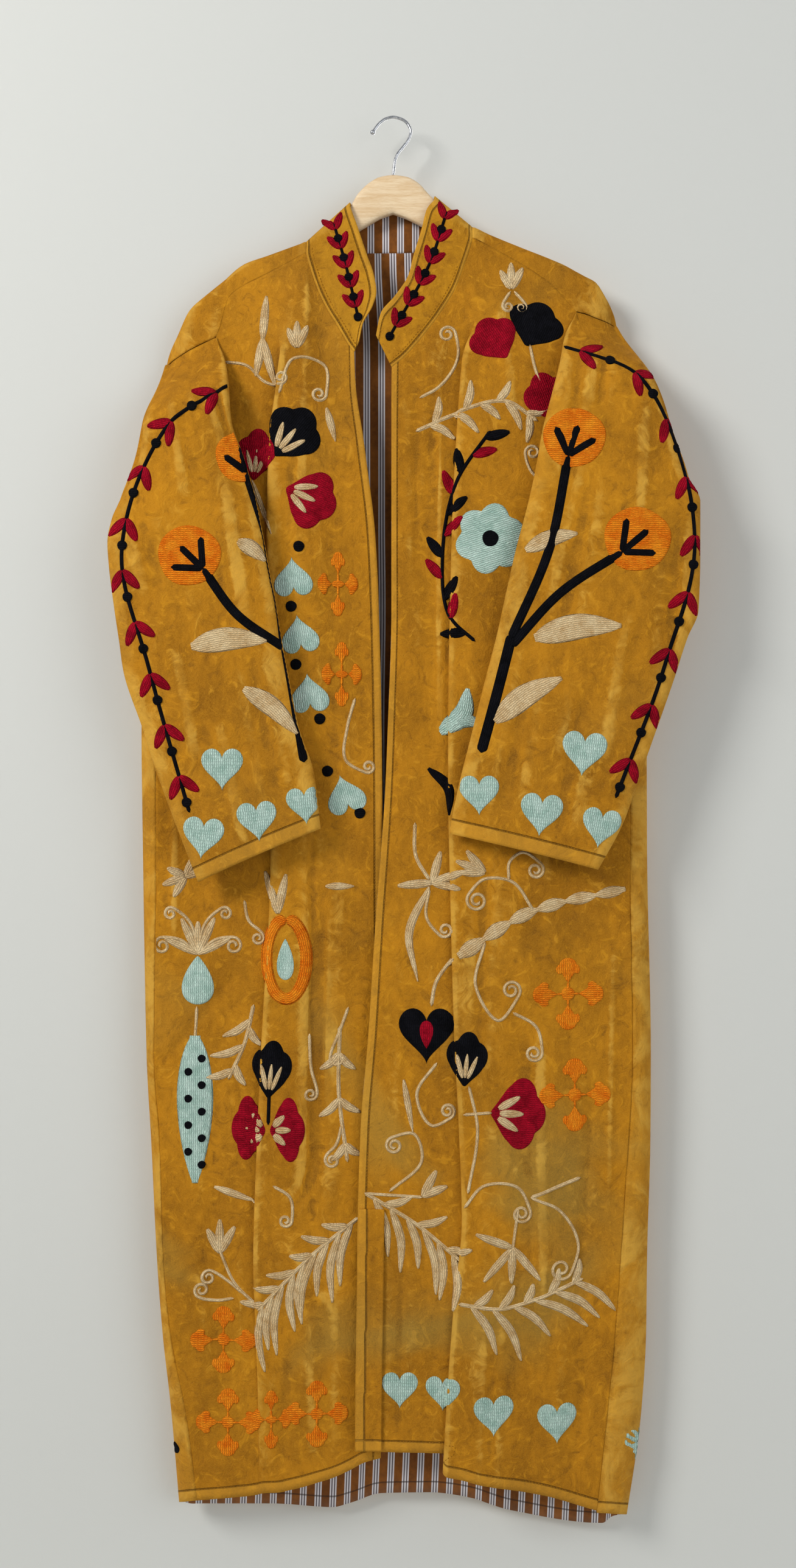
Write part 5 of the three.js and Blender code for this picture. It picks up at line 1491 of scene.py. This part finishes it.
def sew_right_front():
    """The right front's motifs, from its shoulder to its hem."""
    on = "front_right"
    # At the shoulder: tulips, a fern and a curl.
    star(on, 125, -187, 26, 62, 90, 120)
    for hand in (-1, 1):
        tendril(on, [(126 + hand * 2, -190), (128 + hand * 12, -204)], 6, -hand)
    tulip(on, "red", 119, -263, 48, 48, 122, ())
    tulip(on, "black", 140, -249, 50, 54, 66, ())
    tulip(on, "red", 173, -329, 54, 45, 112, ())
    ribbon(on, "beige", [(144, -248), (150, -275), (162, -304)], FINE)
    tendril(on, [(28, -303), (50, -290), (68, -262), (66, -235)], 9, 1)
    spray(on, [(24, -338), (70, -319), (118, -309), (152, -329)], (4, 28), (5, 30), 55)
    # Beside the opening: a flower, and a vine of single leaves.
    pad(on, "flower", "mint", 102, -453, 75, 75, 18)
    dots(on, 17, (102, -453), lift=ABOVE)
    tendril(on, [(157, -393), (145, -382), (139, -365)], 8, -1)
    bend = [(102, -340), (66, -395), (52, -475), (60, -535), (86, -561)]
    ribbon(on, "black", bend, STEM)
    for i, (x, z, heading) in enumerate(on_line(bend, (np.arange(11) + 0.4) / 11)):
        yarn = "red" if i % 2 else "black"
        leaf(on, yarn, x, z, heading + 180 + (40 if i % 4 > 1 else -40), 26, 11, blunt=0.5)
    leaf(on, "mint", 50, -654, 57, 52, 22, -0.2)
    leaf(on, "mint", 50, -657, 12, 44, 19, 0.2)
    leaf(on, "black", 37, -694, -66, 54, 11, 0.2)
    # At the hip: a plant with a scalloped garland, a heart, tulips and two rosettes.
    ribbon(on, "beige", [(23, -751), (24, -786), (38, -811)], STEM)
    star(on, 41, -814, 34, 75, 20, -12, 185)
    leaf(on, "beige", 38, -818, -97, 100, 9, -0.15)
    tendril(on, [(38, -820), (35, -850), (48, -868)], 8, 1)

    def scalloped(t):
        return mix(17, 12, t) * (0.3 + 0.7 * np.abs(np.sin(6 * np.pi * np.clip(t, 0.01, 0.99))))

    ribbon(on, "beige", [(68, -890), (138, -847), (245, -821)], scalloped)
    tendril(on, [(147, -843), (125, -813), (95, -810), (80, -824)], 11, 1, 1.6)
    tendril(on, [(121, -811), (122, -792), (136, -782), (154, -793)], 9, -1, 1.6)
    star(on, 96, -803, 30, 130, 158, 180)
    hearts(on, (35, -971, 58, 90), yarn="black")
    pad(on, "drop", "red", 35, -987, 29, 15, 90, ABOVE)
    tulip(on, "black", 74, -1025, 56, 38, 84)
    tulip(on, "red", 102, -1053, 57, 66, -4)
    ribbon(on, "beige", [(63, -892), (45, -918), (40, -943)], STEM)
    tendril(on, [(96, -875), (86, -920), (110, -957), (131, -932)], 10, 1, 1.6)
    tendril(on, [(125, -949), (150, -965), (156, -990)], 9, -1, 1.6)
    rosette(on, 184, -931, 71)
    rosette(on, 191, -1037, 72)
    # Below the hip: stems, curls, and two ferns with a star plant between them.
    ribbon(on, "beige", [(79, -1025), (88, -1070), (78, -1137)], FINE)
    ribbon(on, "beige", [(73, -1055), (103, -1053)], FINE)
    tendril(on, [(46, -1002), (25, -1035), (40, -1068), (60, -1060)], 8, 1, 1.6)
    tendril(on, [(-4, -1137), (30, -1105), (22, -1077), (0, -1080)], 9, 1, 1.6)
    leaf(on, "beige", 11, -1020, -80, 56, 7)
    spray(on, [(-30, -1138), (25, -1172), (69, -1208)], (3, 30), (6, 62), 46)
    ribbon(on, "beige", [(-29, -1139), (31, -1143)], FINE)
    star(on, 31, -1142, 28, 22, 62)
    tendril(on, [(74, -1152), (95, -1129), (130, -1132), (143, -1155)], 10, -1, 1.6)
    tendril(on, [(144, -1143), (175, -1158), (195, -1195), (188, -1222)], 12, -1)
    ribbon(on, "beige", [(144, -1143), (197, -1124)], STEM)
    star(on, 125, -1195, 42, 158, 228, 268, 310, width=9)
    ribbon(on, "beige", [(125, -1196), (131, -1154)], FINE)
    spray(on, [(68, -1252), (117, -1258), (200, -1231)], (5, 26), (6, 58), 52)
    hearts(on, (7, -1343, 38, 90), (52, -1346, 36, 90), (105, -1368, 42, 90), (172, -1379, 42, 90))


def sew_back():
    """Round the sides, and the hidden back in the same manner as the fronts, mirrored about
    its middle: [::side] swaps a fern's two sides."""
    hearts("back", (261, -1410, 34, 90))
    dots("back", 12, (234, -1428), (-232, -1415))
    on = "behind"
    hearts(on, *((x, -1400, 42, 90) for x in range(-180, 181, 60)))
    for side in (-1, 1):
        spray(on, [(side * 30, -1170), (side * 90, -1200), (side * 170, -1270)],
              *(((5, 26), (8, 60))[::side]), 44)
        spray(on, [(side * 40, -330), (side * 90, -318), (side * 150, -345)],
              *(((4, 28), (5, 32))[::side]), 55)
        tulip(on, "red", side * 125, -470, 56, 54, 90 - side * 24)
        tulip(on, "black", side * 95, -455, 58, 50, 90 + side * 14)
        ribbon(on, "black", [(side * 118, -470), (side * 112, -560), (side * 100, -650)], STEM)
        rosette(on, side * 190, -900, 70)
        rosette(on, side * 100, -1010, 66)
        star(on, side * 70, -830, 40, 20, 55, 90, 125, 160)
        tendril(on, [(side * 60, -700), (side * 90, -740), (side * 130, -730)], 9, side)
        hearts(on, (side * 60, -560, 42, -90), (side * 165, -640, 42, -90))
    pad(on, "flower", "mint", 0, -700, 78, 78, 18)
    dots(on, 17, (0, -700), lift=ABOVE)
    vine(on, [(0, -800), (12, -900), (-10, -1000), (0, -1120)], 9, 21)


def topstitch(on, grid, edge, distance):
    """Small stitches, each 1.6 mm long and 0.9 mm wide, along a line that runs `distance` in
    from a grid's edge."""
    lines, gone = inwards(grid, edge)
    line = np.array([
        [np.interp(distance, gone[:, j], lines[:, j, k]) for k in (0, 2)]
        for j in range(lines.shape[1])
    ])
    along = distances(line)
    at = np.arange(TOPSTITCH, along[-1] - TOPSTITCH, TOPSTITCH)
    middle = np.stack([np.interp(at, along, line[:, k]) for k in (0, 1)], axis=1)
    tangent = unit(np.gradient(middle, axis=0))
    ends = np.array([-0.8, 0.8])[None, :, None]
    across = np.array([-0.45, 0, 0.45, 0])[None, None, :]
    height = np.array([0, 0.35, 0, -0.3])[None, None, :]
    x = middle[:, :1, None] + tangent[:, :1, None] * ends - tangent[:, 1:, None] * across
    z = middle[:, 1:, None] + tangent[:, 1:, None] * ends + tangent[:, :1, None] * across
    for stitch in surfaces[on].lay(x, z, height + 0 * x):
        keep(on, "gold", stitch, np.zeros((2, 4, 2)))


def topstitch_edges():
    """Stitches along the fronts' edges and hems, the cuffs, and the two ends of the collar."""
    for side, opening in (("left", "right"), ("right", "left")):
        grid = outer[f"front_{side}"]
        topstitch(f"front_{side}", grid, opening, EDGE_LINE)
        topstitch(f"front_{side}", grid, "bottom", HEM_LINE)
    for side in SLEEVES:
        grid = outer[f"sleeve_{side}"]
        front = grid[:, grid[-1, :, 1] < SLEEVE_Y]
        topstitch(f"sleeve_{side}", front, "bottom", CUFF_LINE)
    quarter = outer["collar"].shape[1] // 4
    for part in (outer["collar"][:, :quarter], outer["collar"][:, -quarter:]):
        topstitch("collar", part, "top", COLLAR_LINES[0])
        for distance in (COLLAR_LINES[1], 2 * COLLAR_LINES[1]):
            topstitch("collar", part, "bottom", distance)


def sewn_pieces():
    """One joined piece for each yarn on each cloth, listed by the cloth it is sewn on."""
    sewn = {}
    for (on, yarn), solids in work.items():
        points, faces, flats, start = [], [], [], 0
        for rings, flat in solids:
            solid_points, solid_faces = lofted(rings)
            points.append(solid_points)
            faces.append(solid_faces + start)
            flats.append(np.concatenate([flat.reshape(-1, 2), flat[[0, -1]].mean(axis=1)]))
            start += len(solid_points)
        piece = add_mesh(f"{yarn}_stitches_{on}", np.concatenate(points), np.concatenate(faces),
                         np.concatenate(flats))
        piece.data.materials.append(WOOL[yarn])
        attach(piece, "root")
        sewn.setdefault("back" if on == "behind" else on, []).append(piece)
    return sewn


# ---- Hanger ----

def tube(name, path, radii, sides=20):
    """A round bar along a path in the x-z plane, its ends drawn to a point."""
    tangent = unit(np.gradient(path, axis=0))
    side = np.stack([-tangent[:, 2], np.zeros(len(path)), tangent[:, 0]], axis=1)
    turn = np.linspace(0, 2 * np.pi, sides, endpoint=False)
    ring = side[:, None] * np.cos(turn)[:, None] + np.array([0, 1, 0]) * np.sin(turn)[:, None]
    points = path[:, None] + ring * radii[:, None, None]
    return loft(name, points)


def lofted(rings):
    """Points and outward faces of a solid through rings of points, a fan over each end."""
    count, sides = rings.shape[:2]
    index = np.arange(count * sides).reshape(count, sides)
    wrapped = np.concatenate([index, index[:, :1]], axis=1)
    a, b, c, d = wrapped[:-1, :-1], wrapped[:-1, 1:], wrapped[1:, 1:], wrapped[1:, :-1]
    faces = np.concatenate([np.stack(t, -1).reshape(-1, 3) for t in ((a, b, c), (a, c, d))])
    ends = count * sides
    first = np.stack([wrapped[0, 1:], wrapped[0, :-1], np.full(sides, ends)], 1)
    last = np.stack([wrapped[-1, :-1], wrapped[-1, 1:], np.full(sides, ends + 1)], 1)
    points = np.concatenate([rings.reshape(-1, 3), rings[[0, -1]].mean(axis=1)])
    faces = np.concatenate([faces, first, last])
    corners = points[faces]
    corners = corners - points.mean(axis=0)
    volume = np.einsum("ij,ij->i", corners[:, 0], np.cross(corners[:, 1], corners[:, 2])).sum()
    return points, faces[:, ::-1] if volume < 0 else faces


def loft(name, rings):
    """An object from rings of points."""
    return add_mesh(name, *lofted(rings))


HANGER_STEPS = 150  # sections along the bar, and along the hook's wire
BAR_HALF = 6
BAR_SWELL = 0.6  # the most that its curved top stands above straight lines between points
BAR_END = {"left": (-201.5, -197.5, 6), "right": (209.5, -181, 7)}  # x, top, underside's rise
BAR_TAPER = 12  # from an end of the bar to where its underside starts to rise
BAR_SQUARED = 0.55  # power of the section's round: 1 is an ellipse, and less is squarer
BAR_BELOW_RIDGE = 3.3  # from the middle of the cloth over the bar down to the bar
BAR_HUMP = table(
    "x top", (-38, -81.5), (-26, -69.6), (-14, -63), (0, -61), (15, -63), (27, -69.6), (39, -82.5),
)
BAR_UNDERSIDE = table(
    "x z", (-203, -211.5), (-36, -120), (-14, -107), (0, -102), (14, -107), (30, -115), (210, -201),
)


def add_bar():
    """The wooden bar: an eight-cornered section with rounded corners, lofted along x."""
    low, high = BAR_END["left"][0], BAR_END["right"][0]
    shown = (RIDGE["x"] > low) & (RIDGE["x"] < high)
    x = np.concatenate([[low], RIDGE["x"][shown], BAR_HUMP["x"], [high]])
    top = np.concatenate([
        [BAR_END["left"][1]], RIDGE["z"][shown] - BAR_BELOW_RIDGE, BAR_HUMP["top"],
        [BAR_END["right"][1]],
    ])
    order = np.argsort(x)
    x, top = x[order], top[order]
    stations = np.linspace(low, high, HANGER_STEPS)
    top = np.minimum(through(x, top, stations), np.interp(stations, x, top) + BAR_SWELL)
    rises = BAR_END["left"][2], 0, 0, BAR_END["right"][2]
    ends = np.interp(stations, (low, low + BAR_TAPER, high - BAR_TAPER, high), rises)
    bottom = np.interp(stations, BAR_UNDERSIDE["x"], BAR_UNDERSIDE["z"]) + ends
    turn = np.linspace(0, 2 * np.pi, 40, endpoint=False)
    y = BAR_HALF * np.sign(np.cos(turn)) * np.abs(np.cos(turn)) ** BAR_SQUARED
    rise = np.sign(np.sin(turn)) * np.abs(np.sin(turn)) ** BAR_SQUARED
    z = (top + bottom)[:, None] / 2 + (top - bottom)[:, None] / 2 * rise
    rings = np.stack([stations[:, None] + 0 * z, y + 0 * z, z], axis=2)
    piece = loft("wooden_bar", rings)
    hung(piece, "hanger_bar", wood_finish())


WIRE_RADIUS = 1.5
BALL_RADIUS = 2.6
HOOK_LINE = np.array([
    (-23, 0, -17), (-19, 0, -10.5), (-13, 0, -3.6), (-6.5, 0, 0.3), (0, 0, 1.5), (9.5, 0, -0.8),
    (16.4, 0, -6.8), (18.9, 0, -14), (16.9, 0, -21.5), (10.4, 0, -30.6), (4.5, 0, -38.4),
    (2, 0, -45), (0, 0, -60.7),
])


def add_hook():
    """The wire hook, a round bar along its line, and a ball on its tip."""
    along = distances(HOOK_LINE)
    at = np.linspace(0, along[-1], HANGER_STEPS)
    path = through(along, HOOK_LINE, at)
    ball = np.sqrt(np.clip(BALL_RADIUS ** 2 - (at - BALL_RADIUS) ** 2, 0, None))
    wire = np.where(at > BALL_RADIUS, WIRE_RADIUS, 0.05)
    piece = tube("wire_hook", path, np.maximum(ball, wire))
    hung(piece, "hanger_hook", steel_finish())


add_bar()
add_hook()
for sew in (sew_sleeves, sew_collar, sew_left_front, sew_right_front, sew_back, topstitch_edges):
    sew()


# ---- Sewn pieces ----


sewn_pieces()


# ---- Studio ----

STAGE_HALF = 4000.0  # half the width of the floor and of the wall
FLOOR_Z = -1575.0
WALL_Y = 27.0


def add_stage():
    """A pale floor below the hem and a pale wall behind, seen only from its front."""
    pale = bpy.data.materials.new("pale studio paint")
    pale.use_nodes = True
    nodes = Nodes(pale.node_tree)
    shader = pale.node_tree.nodes["Principled BSDF"]
    set_up(shader, Base_Color=srgb("CDCECA"), Roughness=0.9, Specular_IOR_Level=0.1)
    place = nodes.add("ShaderNodeTexCoord").outputs["Object"]
    join(nodes, bump(nodes, nodes.noise(place, 220, 3, 0.6), 0.08, 0.001), shader.inputs["Normal"])
    one_sided = pale.copy()
    one_sided.name = "pale studio wall"
    nodes = Nodes(one_sided.node_tree)
    shader = one_sided.node_tree.nodes["Principled BSDF"]
    clear = nodes.add("ShaderNodeBsdfTransparent")
    back = nodes.add("ShaderNodeNewGeometry").outputs["Backfacing"]
    both = nodes.add("ShaderNodeMixShader", inputs={
        0: back, 1: shader.outputs[0], 2: clear.outputs[0],
    })
    join(nodes, both.outputs[0], one_sided.node_tree.nodes["Material Output"].inputs["Surface"])
    flat = np.array([(-1, -1), (1, -1), (1, 1), (-1, 1)]) * STAGE_HALF
    floor = np.column_stack([flat, np.full(4, FLOOR_Z)])
    wall = np.column_stack([flat[:, 0], np.full(4, WALL_Y), flat[:, 1]])
    for name, points, finish in (("floor", floor, pale), ("wall", wall, one_sided)):
        piece = add_mesh(name, points, np.array([[0, 1, 2, 3]]))
        piece.data.materials.append(finish)
        if name == "wall":
            piece.visible_diffuse = False
            piece.visible_glossy = False
            piece.visible_shadow = False


def add_light(name, place, aim, size, power, colour):
    """A round lamp: its place and what it is aimed at in metres, its width, and its watts."""
    lamp = bpy.data.lights.new(name, "AREA")
    lamp.shape = "DISK"
    lamp.size = size
    lamp.energy = power
    lamp.color = colour
    piece = bpy.data.objects.new(name, lamp)
    bpy.context.scene.collection.objects.link(piece)
    piece.location = place
    towards = np.array(aim) - np.array(place)
    piece.rotation_euler = Vector(towards).to_track_quat("-Z", "Y").to_euler()


def add_camera():
    """The viewpoint: 1.5 m in front, level with the middle of the robe's length."""
    lens = bpy.data.cameras.new("camera")
    lens.sensor_width = 36
    lens.lens = 32.25
    camera = bpy.data.objects.new("camera", lens)
    camera.location = (0.0052, -1.5, -0.7105)
    camera.rotation_euler = (np.pi / 2, 0, 0)
    bpy.context.scene.collection.objects.link(camera)
    bpy.context.scene.camera = camera


add_stage()
add_light("window", (-2.1, -1.9, 0.8), (0, 0, -0.6), 1.1, 72, (1.0, 0.985, 0.96))
add_light("fill", (1.9, -2.1, -0.2), (0, 0, -0.8), 2.2, 22, (0.95, 0.97, 1.0))
add_light("behind", (0.8, 2.4, 0.5), (0, 0, -0.7), 2.2, 60, (1.0, 0.99, 0.97))
world = bpy.data.worlds.new("studio")
world.use_nodes = True
world.node_tree.nodes["Background"].inputs[0].default_value = (0.86, 0.88, 0.9, 1)
world.node_tree.nodes["Background"].inputs[1].default_value = 0.42
bpy.context.scene.world = world
bpy.context.scene.view_settings.view_transform = "Standard"
add_camera()
